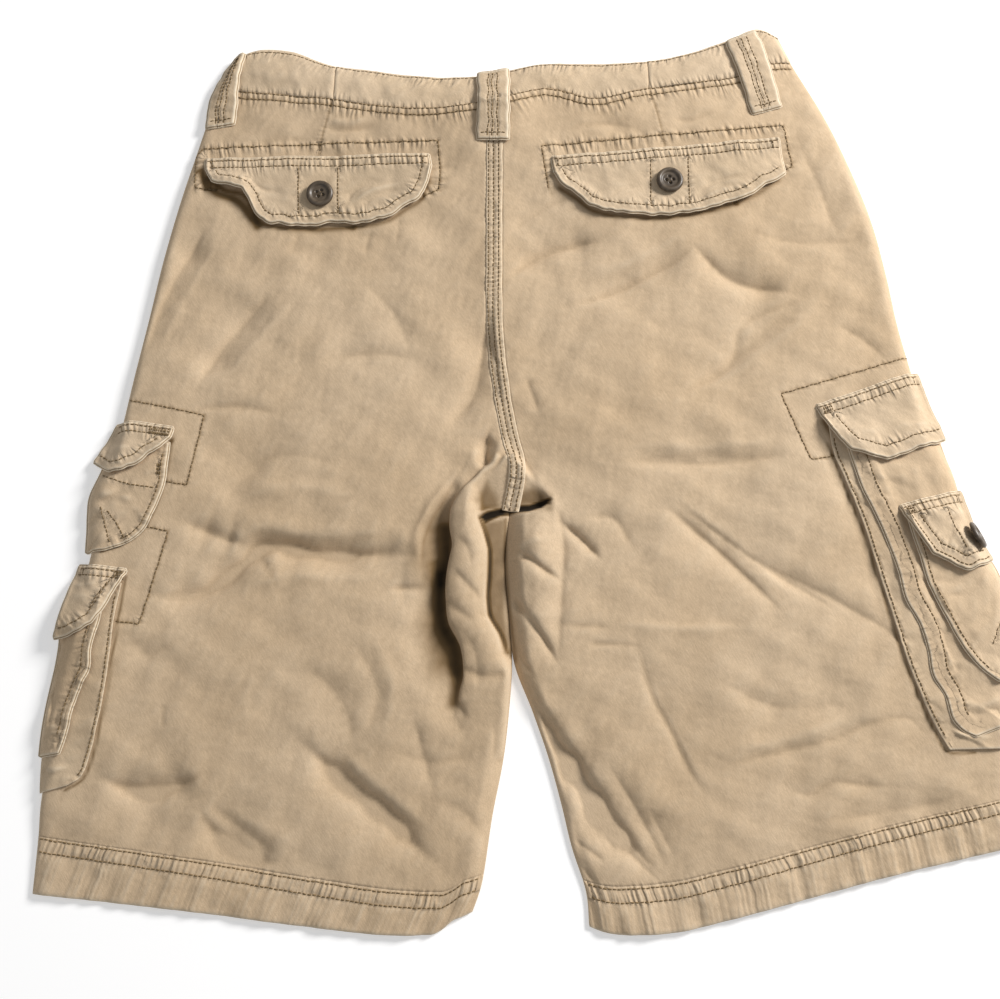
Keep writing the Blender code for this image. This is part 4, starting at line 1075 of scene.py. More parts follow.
SHADED_LINES = {
    # how far the shade of a hanging edge reaches, amount, points
    "left": [
        (2.2, 1, [(-232, 199), (-220, 190), (-206, 186), (-199, 176), (-193, 164), (-184, 161),
            (-170, 159), (-153, 159), (-126, 160)]),
        (3.2, 1.2, [(-238, 205), (-233, 194), (-224, 186), (-210, 181), (-201, 170), (-195, 161)]),
        (1.7, 0.8, [(-126, 160), (-99, 166), (-90, 173), (-78, 181), (-72, 196)]),
        (1.6, 0.9, [(-247, 3), (-254, -5), (-262, -11)]),
        (1, 0.9, [(-247, 2), (-250, -20), (-257, -48), (-263, -60), (-274, -69), (-290, -75)]),
        (1, 0.9, [(-273, -93), (-275, -112), (-278, -141), (-280, -165), (-283, -188), (-287, -209),
            (-294, -226), (-304, -232)]),
        (4, 1, [(-59, -58), (-58, -78), (-62, -94), (-62, -110), (-60, -124), (-52, -140), (-50, -158),
            (-52, -176)]),
        (1.3, 1, [(-35, -52), (-28, -73), (-28, -90), (-29, -107), (-27, -119), (-20, -131),
            (-16, -143)]),
        (1.2, 0.8, [(-17, -52), (-17.5, -80), (-15.5, -114), (-13, -145)]),
    ],
    "right": [
        (2, 0.95, [(22, 190), (33, 183), (44, 174), (60, 169), (76, 168), (101, 168), (126, 172),
            (149, 179)]),
        (1.7, 0.75, [(149, 179), (160, 184), (170, 190), (180, 197)]),
        (2, 0.9, [(203, 16), (208, 7), (214, -1), (219, -8), (230, -11)]),
        (1, 0.9, [(205, 0), (212, -22), (218, -38), (225, -60), (235, -99), (245, -140), (256, -174),
            (264, -193), (271, -207), (290, -208)]),
        (1.3, 0.7, [(-17, -52), (-17, -80), (-14.5, -114), (-10.5, -148)]),
    ],
}
OVERHANG = 2.6           # how far the roll's outer edge leans over

# each kind of seam: its line, rows of stitches, pucker, reach to both sides and pitch
def waist_seam(first, last):
    below = [(x, y - 5.4) for x, y, _z in WAIST_SEAM if first < x < last]
    return curved(below), (0.0, 5.2), 0.5, (4.5, 7), 4.4


def pocket_frame(*points):
    return straight(points), (0.0,), 0.7, (4, 9), 8.0


def cargo_frame(*points):
    return straight(points), (0.0,), 0.22, (3, 3), 6.0


def dart(*points):
    return curved(points), (0.0,), 0.2, (2.5, 5), 5.0


SEAM_LINES = {
    "left": {
        "waist": waist_seam(-300, -20),
        "pocket frame": pocket_frame((-226, 190), (-241, 191), (-242.5, 217), (-238, 223), (-150, 225),
                                     (-66, 226), (-64, 204), (-65, 189), (-76, 184)),
        "dart": dart((-143.5, 261), (-147, 245), (-150.5, 230), (-152.5, 215)),
        "upper cargo frame": cargo_frame((-279, 32), (-246, 25), (-226, 21), (-235, -29), (-251, -26)),
        "lower cargo frame": cargo_frame((-265, -57), (-246, -61), (-262, -124), (-278, -122)),
    },
    "right": {
        "waist": waist_seam(-40, 300),
        "pocket frame": pocket_frame((14, 190), (9, 222), (60, 228), (120, 234), (186, 241),
                                     (191, 208), (180, 203)),
        "dart": dart((88.5, 266), (93, 253), (96, 240), (99, 224)),
        "cargo frame": cargo_frame((265, 63), (174, 36), (193, -11), (210, -8)),
    },
}
print("hollows:", {side: len(rows) for side, rows in HOLLOWS.items()})

# %% The back panel's own shape
INNER_COLUMNS = np.array([0, 0.8, 1.7, 2.7, 3.8, 5.0, 6.2])
OUTER_COLUMNS = np.array([9.0, 7.2, 5.6, 4.2, 3.0, 2.0, 1.2, 0.5, 0])
GATHERED = 72.0          # the finer columns reach this far from the inner edge
PANEL_ROWS = 333
HEM_ROWS = 25
PANEL_MIDDLE = (62, 120)  # columns in the gathered part, and in the rest
HEM_MIDDLE = (62, 158)
FRONT_MIDDLE = (12, 34)


class BackPanel:
    """One back panel: where each point of its outside lies, from the waist seam to the hem."""

    def __init__(self, side):
        self.side = side
        self.values = np.array(STATIONS[side], float)
        inner = travel(self.values[:, 0:2])
        outer = travel(self.values[:, 2:4])
        self.knots = (inner + outer) / 2.0
        self.length = self.knots[-1]
        self.waist = self.bow(self.values[0], WAIST_SEAM)
        self.hem = self.bow(self.values[-1], HEM_EDGE[side])

    @staticmethod
    def bow(ends, edge):
        """How far a curved edge leaves the straight line between its ends."""
        edge = np.array(edge, float)
        edge = edge[np.argsort(edge[:, 0])]
        u = np.linspace(0.0, 1.0, 161)
        x = ends[0] + (ends[2] - ends[0]) * u
        off = smooth(edge[:, 0], edge[:, 1], x) - (ends[1] + (ends[3] - ends[1]) * u)
        off[[0, -1]] = 0.0
        return u, off

    def layout(self, down, middle):
        """Places on the floor of the rows at the distances down from the waist seam."""
        rows = smooth(self.knots, self.values, down)
        inner, outer = rows[:, None, 0:2], rows[:, None, 2:4]
        width = np.linalg.norm(rows[:, 2:4] - rows[:, 0:2], axis=1)[:, None]
        near, far = (np.linspace(0.0, 1.0, count + 1)[None, 1:] for count in middle)
        first, last = INNER_COLUMNS[-1], width - OUTER_COLUMNS[0]
        across = np.hstack([INNER_COLUMNS + 0 * width, first + (GATHERED - first) * near + 0 * width,
                            GATHERED + (last - GATHERED) * far[:, :-1], width - OUTER_COLUMNS])
        u = across / width
        x = inner[..., 0] + (outer[..., 0] - inner[..., 0]) * u
        y = inner[..., 1] + (outer[..., 1] - inner[..., 1]) * u
        from_waist = np.asarray(down)[:, None]
        to_hem = self.length - from_waist
        for bow, from_edge, reach in ((self.waist, from_waist, WAIST_REACH),
                                      (self.hem, to_hem, HEM_REACH)):
            y = y + np.interp(u, *bow) * bell(from_edge, reach)
        return np.stack([x, y], -1), rows, across, width, from_waist, to_hem

    def outside(self, down, middle, fine=True):
        """Points of the outer surface on the rows at the distances down from the waist."""
        flat, rows, across, width, from_waist, to_hem = self.layout(down, middle)
        x, y = flat[..., 0], flat[..., 1]
        inner_z, crown, leg = (rows[:, None, k] for k in (4, 5, 6))
        thigh = PANEL_RIM + (crown - PANEL_RIM) * ease(across / INSEAM_RISE + 0.25)
        seat = crown + (inner_z - crown) * bell(across, SEAT_REACH)
        z = seat + (thigh - seat) * leg
        seam = np.array(WAIST_SEAM, float)
        lift = smooth(seam[:, 0], seam[:, 2], x) - self.values[0, 5]
        z = z + lift * bell(from_waist, LIFT_REACH)
        clear = ease((width - across) / (2.8 * SIDE_TURN))
        clear = clear * (1.0 - leg * (1.0 - ease(across / (2.4 * INSEAM_TURN))))
        relief = np.zeros_like(x)
        for fold_width, height, points in SOFT_FOLDS[self.side]:
            crease(relief, x, y, fold_width, fold_width, height, points)
        relief *= clear
        clear = ease((width - across) / 9.0 + 0.1)
        clear = clear * (1.0 - leg * (1.0 - ease(across / 6.0)))
        sharp = np.zeros_like(x)
        for k, (left, right, height, points) in enumerate(CREASES[self.side]):
            crease(sharp, x, y, left, right, height * SHARP_DEPTH, points, seed=k)
        sharp += 0.6 * ripples(x, y, 62.0, 3) + 0.35 * ripples(x, y, 27.0, 4)
        z = z + (relief + sharp) * clear
        for height, soft, outline in HOLLOWS[self.side]:
            levelled(z, x, y, height, soft, outline)
        for height, widths, outline, crest in ROLLS[self.side]:
            rolled(z, x, y, height, widths, outline, crest)
        for height, soft, outline in SLITS[self.side]:
            levelled(z, x, y, height, soft, outline)
        late = 0.12 * ripples(x, y, 11.0, 5)
        for k, (left, right, height, points) in enumerate(LATE_CREASES[self.side]):
            crease(late, x, y, left, right, height, points, seed=k + 50)
        z = np.maximum(z + late * clear, BACK_LOWEST - 0.4)
        marks = Marks(x)
        if fine:
            small = np.zeros_like(x)
            for k, seam in enumerate(SEAM_LINES[self.side].values()):
                pressed(small, x, y, *seam, seed=k, marks=marks)
            small += self.hem_relief(across, to_hem, marks)
            # painted shade under the edges that hang over the panel, and in its deepest hollows
            for reach, amount, points in SHADED_LINES[self.side]:
                marks.darken(x, y, curved(points), reach, amount)
            for soft, amount, outline in PAINTED_HOLLOW_SHADE[self.side]:
                here, share = soft_area(x, y, outline, soft)
                marks.painted_shade[here] -= amount * share
            z = z + small * ease((width - across) / 4.0) * (1.0 - leg * (1.0 - ease(across / 3.0)))
            under_strip = (1.0 - ease((across - 4.6) / 1.8)) * (1.0 - ease(leg * 6.0))
            z = z - 1.25 * under_strip
        inner_turn = 1.0 + (quarter(across / INSEAM_TURN) - 1.0) * ease(leg)
        side_turn = quarter((width - across) / SIDE_TURN)
        z = PANEL_RIM + (z - PANEL_RIM) * inner_turn * side_turn
        if self.side == "left":
            x = self.lean(x, y)
        self.marks = marks
        return np.stack([x, y, z], axis=-1)

    def hem_relief(self, across, to_hem, marks):
        """Two rows of stitches along the hem, with puckers between and below them."""
        wave = bulges(across + 0.12 * to_hem, 400.0, 3.8, 71)
        slow = uneven(400.0, 16.0, 72, across + 0.15 * to_hem)
        strength = 0.75 + 0.35 * uneven(400.0, 37.0, 73, across)
        beyond = np.maximum(np.abs(to_hem - 24.5) - 3.9, 0.0)
        gather = bell(beyond, 3.0) * strength
        below = ease((22.0 - to_hem) / 7.0) * strength
        relief = 0.65 * wave * gather + (0.9 * slow + 0.3 * wave) * below
        for row in HEM_STITCHES:
            relief -= 0.55 * bell(to_hem - row, 0.95)
            # painted shade along the ditch under each row
            marks.painted_shade -= 0.75 * bell(to_hem - row, 0.9)
        amount = bell(beyond, 1.6) * np.clip(strength, 0.0, 1.0)
        amount = 0.9 * amount + 0.2 * np.clip(below, 0.0, 1.0)
        near = np.broadcast_to(to_hem < 40.0, amount.shape)
        marks.pulled(near, amount[near], (across + 0.12 * to_hem)[near])
        return relief - 0.9 * (1.0 - quarter((to_hem + 0.3) / 2.2))

    @staticmethod
    def lean(x, y):
        """Slide the cloth along the roll's outer edge, so that the edge overhangs."""
        line = curved(ROLL_OUTER)
        away, along, length = beside(x, y, line)
        strength = OVERHANG * ease(5.0 * along / length) * ease(4.0 * (length - along) / length)
        return x - strength * bell(away - 2.2, 2.6) * 0.8 + strength * bell(away + 2.6, 2.6) * 0.5


def moved_in(grid, left, right, start=0.0, finish=0.0):
    """The same grid with its four edges drawn in by small distances."""
    grid = grid.copy()
    across = grid.swapaxes(0, 1)
    for lines, edge, next_to, distance in ((across, 0, 1, left), (across, -1, -2, right),
                                           (grid, 0, 1, start), (grid, -1, -2, finish)):
        lines[edge, :, :2] += unit(lines[next_to, :, :2] - lines[edge, :, :2]) * distance
    return grid


backs = {side: BackPanel(side) for side in STATIONS}
print("leg lengths, waist seam to hem:", {s: round(b.length) for s, b in backs.items()})

# %% [markdown]
# ## Sewing the legs
#
# Each leg has a back panel with its hem and a front panel with its hem. A hem is the
# panel's own end, turned up inside and caught by two rows of stitches. The wash shrinks
# the two layers by different amounts, so short diagonal puckers stand between the rows.
# The fronts lie flat on the table, with their face down.

# %% Make both legs
def crests(z, amount, reach=2):
    """Paler where the cloth stands proud, as rubbing leaves it, and painted shade where it is sunk."""
    wide = np.pad(z, reach, mode="edge")
    total = np.cumsum(np.cumsum(np.pad(wide, ((1, 0), (1, 0))), 0), 1)
    n = 2 * reach + 1
    mean = (total[n:, n:] - total[:-n, n:] - total[n:, :-n] + total[:-n, :-n]) / n ** 2
    return np.clip((z - mean) * amount, -0.3, 0.25)


def edge_wear(grid, sides, reach, amount):
    """Wear that is strongest at some of a grid's edges: top, bottom, left and right."""
    flat = grid[..., :2]
    wear_and_shade = np.zeros(grid.shape[:2])
    edges = {"top": flat[0:1], "bottom": flat[-1:], "left": flat[:, 0:1], "right": flat[:, -1:]}
    for side in sides:
        away = np.linalg.norm(flat - edges[side], axis=-1)
        wear_and_shade = np.maximum(wear_and_shade, amount * bell(away, reach))
    return wear_and_shade


def worn_and_shaded_look(grid, amount, marks, *edges):
    """Paleness from rubbing and painted shade from the relief, painted shade from the marks, and rubbed
    edges: each some sides, a reach and an amount.
    """
    worn_and_shaded = crests(grid[..., 2], amount) + marks.painted_shade
    for edge in edges:
        worn_and_shaded = np.maximum(worn_and_shaded, edge_wear(grid, *edge))
    return worn_and_shaded


def make_back(side):
    back = backs[side]
    hem_line = back.length - HEM_DEPTH
    half = SEAM_GAP / 2.0
    body = back.outside(np.linspace(0.0, hem_line, PANEL_ROWS), PANEL_MIDDLE)
    body = moved_in(body, SEAM_GAP, 0.0, SEAM_GAP, half)
    worn_and_shaded = worn_and_shaded_look(body, 0.3, back.marks)
    panel = put_in_place(f"back_{side}", body, CLOTH, PANEL, worn_and_shaded, PLAIN_RIM, back.marks, BACK_INSIDE)
    hem = back.outside(np.linspace(hem_line, back.length, HEM_ROWS), HEM_MIDDLE)
    hem = moved_in(hem, SEAM_GAP, 0.0, half, 0.0)
    worn_and_shaded = worn_and_shaded_look(hem, 0.8, back.marks, (["bottom"], 0.7, 0.6))
    put_in_place(f"hem_back_{side}", hem, DOUBLE, PANEL, worn_and_shaded, FOLDED_RIM, back.marks, BACK_INSIDE)
    return panel


def floor_sheet(node, flat, thickness, relief):
    """A piece that lies on the floor, with its creased side down."""
    top = np.dstack([flat[..., 0], flat[..., 1], np.full(flat.shape[:2], thickness)])
    piece = wall(f"cloth_{node}", top, thickness, UNDERSIDE, coarse=1, rim=((0.2, 0.5, 0.0),),
                 inner=relief)
    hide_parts(node)
    return piece


def soft_underside(x, y, seed):
    """The floor side: flat, with shallow creases that lift off the floor."""
    return np.clip(0.45 * ripples(x, y, 75.0, seed) + 0.25 * ripples(x, y, 24.0, seed + 1), 0, 0.75)


def make_front(side):
    back = backs[side]
    hem_line = back.length - HEM_DEPTH
    half = SEAM_GAP / 2.0
    for name, start, finish, rows, ends in (
            (f"front_{side}", 0.0, hem_line, 111, (SEAM_GAP, half)),
            (f"hem_front_{side}", hem_line, back.length, 11, (half, 0.0))):
        flat = back.layout(np.linspace(start, finish, rows), FRONT_MIDDLE)[0]
        flat = moved_in(flat, SEAM_GAP, half, *ends)
        floor_sheet(name, flat, CLOTH, soft_underside(flat[..., 0], flat[..., 1], 31))


legs = {side: make_back(side) for side in STATIONS}
for side in STATIONS:
    make_front(side)
for side, back in backs.items():
    lines = SEAM_LINES[side]
    for from_hem in HEM_STITCHES:
        hem_row = back.outside(np.array([back.length - from_hem]), HEM_MIDDLE, False)[0]
        sew("hems", [hem_row[3:-2, :2]], 7)
    sew("waistband", [shifted(lines["waist"][0], 4.6)[::2], lines["waist"][0]], 4)
    sew("back_pockets", [lines["pocket frame"][0]], 5)
    for name, group in (("upper cargo frame", "cargo_left"), ("lower cargo frame", "cargo_left"),
                        ("cargo frame", "cargo_right")):
        if name in lines:
            sew(group, [lines[name][0]], 12)
print("triangles in a back panel:", len(legs["left"].data.polygons))

# %% [markdown]
# ## The seat seam
#
# The two backs are joined by a flat-felled seam: both edges are folded into each other
# and sewn down in rows. It lies as a narrow raised strip down the middle of the seat.

# %% Make the seat seam
ROWS_OF_SEAT = (-4.2, -0.6, 3.2)


def make_seat_seam():
    back = backs["left"]
    centre = smooth(back.knots, back.values, np.linspace(2.0, back.knots[8], 281))[:, 0:2]
    sideways = left_of(centre)
    offset = np.array([-5.5, -5.1, -4.2, -3.2, -2.2, -1.3, -0.6, 0.3, 1.3, 2.2, 3.2, 4.9, 5.5])
    wobble = 0.35 * ripples(centre[:, 0:1], centre[:, 1:2], 30.0, 8)
    x = centre[:, 0:1] + sideways[:, 0:1] * (offset + wobble)
    y = centre[:, 1:2] + sideways[:, 1:2] * (offset + wobble)
    z = drape(x, y, 0.2, 4) + CLOTH
    marks = Marks(x)
    pressed(z, x, y, centre[::6], ROWS_OF_SEAT, 0.4, (2.5, 2.5), 3.9, 0.5, 0.5, 3, marks)
    z[:, [0, -1]] -= 0.45
    grid = np.dstack([x, y, z])
    worn_and_shaded = worn_and_shaded_look(grid, 0.6, marks, (["left", "right"], 0.4, 0.45))
    put_in_place("seat_seam", grid, CLOTH, DOUBLED, worn_and_shaded, FOLDED_RIM, marks)
    sew("seat", [shifted(centre[::4], row) for row in ROWS_OF_SEAT], 1)
    return round(travel(centre)[-1])


print("seat seam:", len(ROWS_OF_SEAT), "rows of", make_seat_seam(), "mm")

# %% [markdown]
# ## The waistband
#
# The band is a folded strip in three cut lengths, joined where the darts end. It is sewn
# on with a row just above the joint, and closed with a row near its top edge.

# %% Make the waistband
BAND_BULGE = 2.0
BAND_STEP = 0.15
BAND_INSIDE = DOUBLE + GAP
BAND_RIM = BAND_INSIDE + 0.9
BAND_END = np.array([0.0, 0.45, 0.75, 0.93])      # how the band's ends turn down
BAND_LENGTHS = {
    # start, finish, columns
    "left": (-229, -143, 63), "centre": (-143, 88, 163), "right": (88, 195, 77),
}


def band_grid(start, finish, columns, down):
    seam = np.array(WAIST_SEAM, float)
    x = np.linspace(start, finish, columns)
    low = smooth(seam[:, 0], seam, x)
    high = smooth(seam[:, 0], np.array(WAIST_TOP, float), x)
    return low[None] + (high - low)[None] * np.asarray(down)[:, None, None]


def make_band(name):
    start, finish, columns = BAND_LENGTHS[name]
    down = np.concatenate([np.linspace(0.0, 0.86, 21), [0.89, 0.92, 0.945, 0.965, 0.985, 1.0]])
    grid = band_grid(start, finish, columns, down)
    x, y = grid[..., 0], grid[..., 1]
    z = grid[..., 2] + BAND_STEP + BAND_BULGE * np.sin(math.pi * down)[:, None]
    small = 0.4 * ripples(x, y, 34.0, 12) + 0.2 * ripples(x, y, 14.0, 13)
    low_row = grid[0, :, :2] * 0.6 + grid[1, :, :2] * 0.4
    high_row = grid[22, :, :2]
    marks = Marks(x)
    pressed(small, x, y, low_row[::3], (0.0,), 0.45, (6, 3), 4.6, 0.45, 0.4, 21, marks)
    pressed(small, x, y, high_row[::3], (0.0,), 0.4, (2.5, 10), 5.0, 0.45, -0.9, 22, marks)
    if name == "left":
        crease(small, x, y, 3, 3, -0.9, [(-113, 272), (-109, 268), (-115, 259)])
    for k, edge in enumerate((grid[:, 0, :2], grid[:, -1, :2])):
        if name == "centre" or (name, k) in (("left", 1), ("right", 0)):
            across = np.abs(beside(x, y, edge)[0])
            small += 0.45 * bell(across - 1.6, 1.2) * (k == 0)
            small -= 0.55 * bell(across, 0.9)
            # painted shade in the joint between two lengths
            marks.painted_shade -= 0.45 * bell(across, 0.6)
    z = z + small
    z = BAND_RIM + (z - BAND_RIM) * quarter((1.03 - down) / 0.14)[:, None]
    if name == "left":
        z[:, :4] = BAND_RIM + (z[:, :4] - BAND_RIM) * BAND_END
    if name == "right":
        z[:, -4:] = BAND_RIM + (z[:, -4:] - BAND_RIM) * BAND_END[::-1]
    grid = np.dstack([x, y, z])
    ends = (0.0 if name == "left" else 0.06, 0.0 if name == "right" else 0.06)
    grid = moved_in(grid, *ends, 0.1, 0.0)
    worn_and_shaded = worn_and_shaded_look(grid, 0.4, marks, (["bottom"], 0.7, 0.6))
    put_in_place(f"waistband_back_{name}", grid, DOUBLE, DOUBLED, worn_and_shaded, FOLDED_RIM, marks, BAND_INSIDE)
    sew("waistband", [high_row], 2)
    return round(travel(low_row)[-1])


print("waistband lengths:", {name: make_band(name) for name in BAND_LENGTHS})


def make_front_band(name, start, finish):
    flat = band_grid(start, finish, 81, np.linspace(0.0, 0.97, 13))[..., :2]
    flat = moved_in(flat, 0.1, 0.1, 0.1, 0.0)
    relief = 0.5 * soft_underside(flat[..., 0], flat[..., 1], 35)
    floor_sheet(f"waistband_front_{name}", flat, DOUBLE, relief)


make_front_band("left", -229, -26)
make_front_band("right", -26, 195)

# %% [markdown]
# ## Belt loops
#
# A loop is a strip folded in three, sewn down its length, and tacked at both ends over
# the waistband. Its middle stands off far enough for a belt.

# %% Make the belt loops
BELT_LOOPS = {
    # left_x, left_y, right_x, right_y, lift
    "centre": [
        (-37.5, 281, -13.5, 285, 0.1), (-37.3, 268, -13.8, 269, 1.3), (-37, 254, -13.8, 255, 1.6),
        (-37.5, 240, -13.5, 240, 1), (-38, 226, -13.5, 226, 0.1),
    ],
    "left": [
        (-218, 296, -210, 299, 0.1), (-225, 285, -212, 285, 0.6), (-231, 272, -213.5, 272, 1.2),
        (-234.5, 262, -214, 262, 1.2), (-236, 251, -214, 252, 0.8), (-236.5, 240, -214.5, 243, 0.1),
    ],
    "right": [
        (146, 307, 170, 317, 0.1), (151, 290, 175, 301, 1.2), (155.5, 277, 179, 285, 1.5),
        (159.5, 263, 183, 270, 1), (163, 250, 186, 257, 0.1),
    ],
}
LOOP_ROWS = (0.32, 0.47, 0.63)


def between(table, along, across, corners=0.0):
    """A grid between two edges. Each row of the table joins a point of one to the other's.
    corners says how far the rows' ends keep their corners, from 0 to 1."""
    values = np.array(table, float)
    knots = (travel(values[:, 0:2]) + travel(values[:, 2:4])) / 2.0
    at = np.linspace(0.0, knots[-1], along)
    sharp = np.stack([np.interp(at, knots, column) for column in values.T], 1)
    rows = smooth(knots, values, at) * (1.0 - corners) + sharp * corners
    across = np.asarray(across, float)
    x = rows[:, 0:1] + (rows[:, 2:3] - rows[:, 0:1]) * across
    y = rows[:, 1:2] + (rows[:, 3:4] - rows[:, 1:2]) * across
    return x, y, rows


def make_loop(name):
    x, y, rows = between(BELT_LOOPS[name], 47, np.linspace(0.05, 0.93, 23))
    x = x + 0.5 * ripples(x, y, 16.0, 43)
    z = drape(x, y, GAP, 30) + DOUBLE + rows[:, 4:5]
    marks = Marks(x)
    for k, share in enumerate(LOOP_ROWS):
        line = np.stack([x, y], -1)[:, int(round(share * 22))]
        pressed(z, x, y, line[::2], (0.0,), 0.28, (2.0, 2.0), 3.4, 0.5, 0.3, 40 + k, marks)
    z += 0.3 * ripples(x, y, 15.0, 44)
    z[:, [0, -1]] -= 0.25
    grid = np.dstack([x, y, z])
    worn_and_shaded = worn_and_shaded_look(grid, 0.5, marks, (["left", "top", "bottom"], 0.6, 0.7),
                     (["right"], 1.1, 1.0))
    put_in_place(f"belt_loop_{name}", grid, DOUBLE, DOUBLED, worn_and_shaded, LAYERED_RIM, marks)
    lines = [grid[1:-1, int(round(share * 22)), :2] for share in LOOP_ROWS]
    sew("loops", [*lines, grid[-4, 2:-2, :2]], 8)
    return round(travel(lines[0])[-1])


print("belt loops:", {name: make_loop(name) for name in BELT_LOOPS})

# %% [markdown]
# ## Pocket flaps
#
# Each flap is two layers, turned right side out and sewn again near the edge. The top is
# sewn to the leg with two rows. The free edge has curled in the wash, each corner in its
# own way. A table row joins the sewn edge to the free edge and gives that row's curl.

# %% Make the flaps
FLAPS = {
    # top_x, top_y, bottom_x, bottom_y, lift
    "back_pocket_flap_left": [
        (-234, 213, -233, 205, 1), (-230, 213, -228, 196, 3), (-222, 213, -220, 193, 5.5),
        (-214, 213, -213, 192, 6), (-206, 213, -205, 189, 5.5), (-201, 213, -200, 181, 4.5),
        (-195, 213.3, -195, 170, 3), (-188, 213.5, -188, 164, 2.2), (-170, 214, -170, 162, 1.8),
        (-153, 214, -153, 162, 1.3), (-141, 214, -141, 165, 1.5), (-126, 214, -126, 163, 1.6),
        (-110, 214.7, -110, 166, 2), (-99, 215, -99, 169, 2.3), (-91, 215, -90, 176.5, 2.3),
        (-80, 215, -79, 183, 2), (-75, 215, -74, 194, 1.5), (-73, 215, -71.5, 206, 1),
    ],
    "back_pocket_flap_right": [
        (17, 213, 19, 201, 1), (23, 213.5, 24, 193, 2), (32, 214.5, 34, 186, 2.5),
        (42, 215.5, 44, 176.5, 2.8), (50, 216, 53, 173.3, 2.6), (60, 217, 62, 171.8, 2.4),
        (75, 218.3, 76, 170.6, 2.1), (90, 219.8, 89, 170, 1.8), (101, 221, 101, 170.6, 1.6),
        (115, 222.3, 115, 172, 1.8), (126, 223.3, 126, 174.4, 2), (137, 224.5, 137, 177.4, 2.2),
        (149, 226, 149, 181.5, 2.6), (160, 227, 160, 186, 2.8), (169, 228, 169, 193, 2.4),
        (177, 228.6, 178, 197.5, 1.6), (181, 229, 184, 202, 1),
    ],
    "cargo_right_flap": [
        (199, 27, 204, 17, 1.5), (203, 28, 208, 10, 2), (208, 30, 213.5, 2.5, 2.2),
        (213, 31.5, 219, -4.2, 2.2), (221, 34, 230, -7.6, 2), (232, 38, 243, -11, 2),
        (243, 42, 255, -6.5, 1.8), (254, 46, 266, -2.6, 1.5), (263, 49, 276, 1, 1.3),
        (271, 51, 285.5, 4, 1),
    ],
    "cargo_right_small_flap": [
        (251, -45, 252.5, -50, 1), (254, -44, 258, -59, 1.8), (258, -43, 263.5, -68, 2.2),
        (262, -41.8, 268.9, -76.6, 2.2), (264, -41.3, 270.6, -77.6, 2.2), (270, -39.8, 280, -82.4, 2),
        (276, -38.3, 290, -87.4, 1.6), (278, -37.8, 292.6, -87.2, 1.5), (286, -35.5, 300.5, -84, 1),
        (293.8, -34, 309.6, -80.7, 0.5),
    ],
    "cargo_left_upper_flap": [
        (-286.5, 14, -300.5, -12, 1), (-281, 14.6, -294, -15.5, 1.3), (-276, 15, -287.5, -19.3, 1.6),
        (-270, 14.5, -278, -17.5, 2), (-264, 13.6, -269.5, -13.8, 2), (-258, 12.8, -261.5, -7.3, 1.8),
        (-252, 11.8, -254, -2, 1.4), (-247, 11, -248.5, 4, 0.8),
    ],
    "cargo_left_lower_flap": [
        (-306.5, -84, -318, -133, 1), (-300, -84.8, -309, -131.5, 1.4),
        (-293, -85.6, -300, -127.5, 1.8), (-286, -86.4, -292, -122.5, 2),
        (-281, -87, -285, -112.5, 1.8), (-277, -87.5, -280, -102, 1.4), (-273, -88, -275.5, -93, 0.8),
    ],
}


FLAP_CREASES = {
    # left_width, right_width, height, points
    "back_pocket_flap_left": [
        (2.6, 1.5, -1.5, [(-131, 176), (-127, 186), (-118, 192), (-106, 196)]),
        (2, 2, 0.9, [(-127, 177), (-117, 185), (-104, 190), (-92, 193)]),
        (1.7, 1.7, -1, [(-123, 174), (-113, 181), (-101, 186), (-92, 188)]),
        (2, 1.5, -0.8, [(-202, 198), (-194, 190), (-186, 187), (-177, 189)]),
        (1.6, 1.6, -0.7, [(-152, 178), (-145, 173), (-140, 176)]),
    ],
    "back_pocket_flap_right": [
        (1.9, 1.6, -0.8, [(58, 181), (66, 188), (78, 191)]),
        (2, 1.6, -0.9, [(120, 184), (130, 192), (142, 197), (155, 199)]),
        (1.6, 1.6, 0.6, [(124, 181), (136, 187), (149, 190)]),
    ],
}


def zigzag(start, finish, side, turns):
    """Short rows of stitches side by side, from one edge to another: a bartack."""
    start, finish, side = (np.asarray(v, float) for v in (start, finish, side))
    rows = []
    for share in np.linspace(0.0, 1.0, turns):
        here = start + (finish - start) * share
        rows.append([here, here + side])
    return rows


BARTACKS = {
    "cargo_left_upper_flap": zigzag((-262, 11.5), (-248.5, 9.2), (-0.6, -4.6), 12),
    "cargo_left_lower_flap": zigzag((-280, -88.4), (-275, -89.0), (-0.5, -3.6), 5),
    "cargo_right_flap": zigzag((202.5, 25.6), (207.5, 27.4), (1.6, -4.0), 5),
    "cargo_right_small_flap": zigzag((253.5, -46.4), (257.5, -45.4), (1.2, -3.6), 4),
}


SIDE_BUTTON = "button_cargo_right"
SIDE_PLACE = (299.6, -65.2)
SIDE_WAY = (0.893, 0.449)      # the way the slope falls, away from the garment
SIDE_HEIGHT = 5.9              # of the slope at the middle of the button
SIDE_FALL = 1.85               # mm down for each mm outward
SIDE_REACH = (13.0, 11.0)      # how far the slope runs beside the button, and takes to end
UNDER_BUTTON = {"cargo_right_pocket": 5.8, "cargo_right_small_pocket": 2.2}


def from_side_button(x, y):
    """How far a point lies outward from the side button, and how far to one side of it."""
    across, down = x - SIDE_PLACE[0], y - SIDE_PLACE[1]
    return across * SIDE_WAY[0] + down * SIDE_WAY[1], across * SIDE_WAY[1] - down * SIDE_WAY[0]


def side_slope(x, y):
    """Height of the slope under the side button, far above everything where it has ended."""
    outward, beyond = from_side_button(x, y)
    ended = ease((np.abs(beyond) - SIDE_REACH[0]) / SIDE_REACH[1])
    return SIDE_HEIGHT - SIDE_FALL * outward + 40.0 * ended


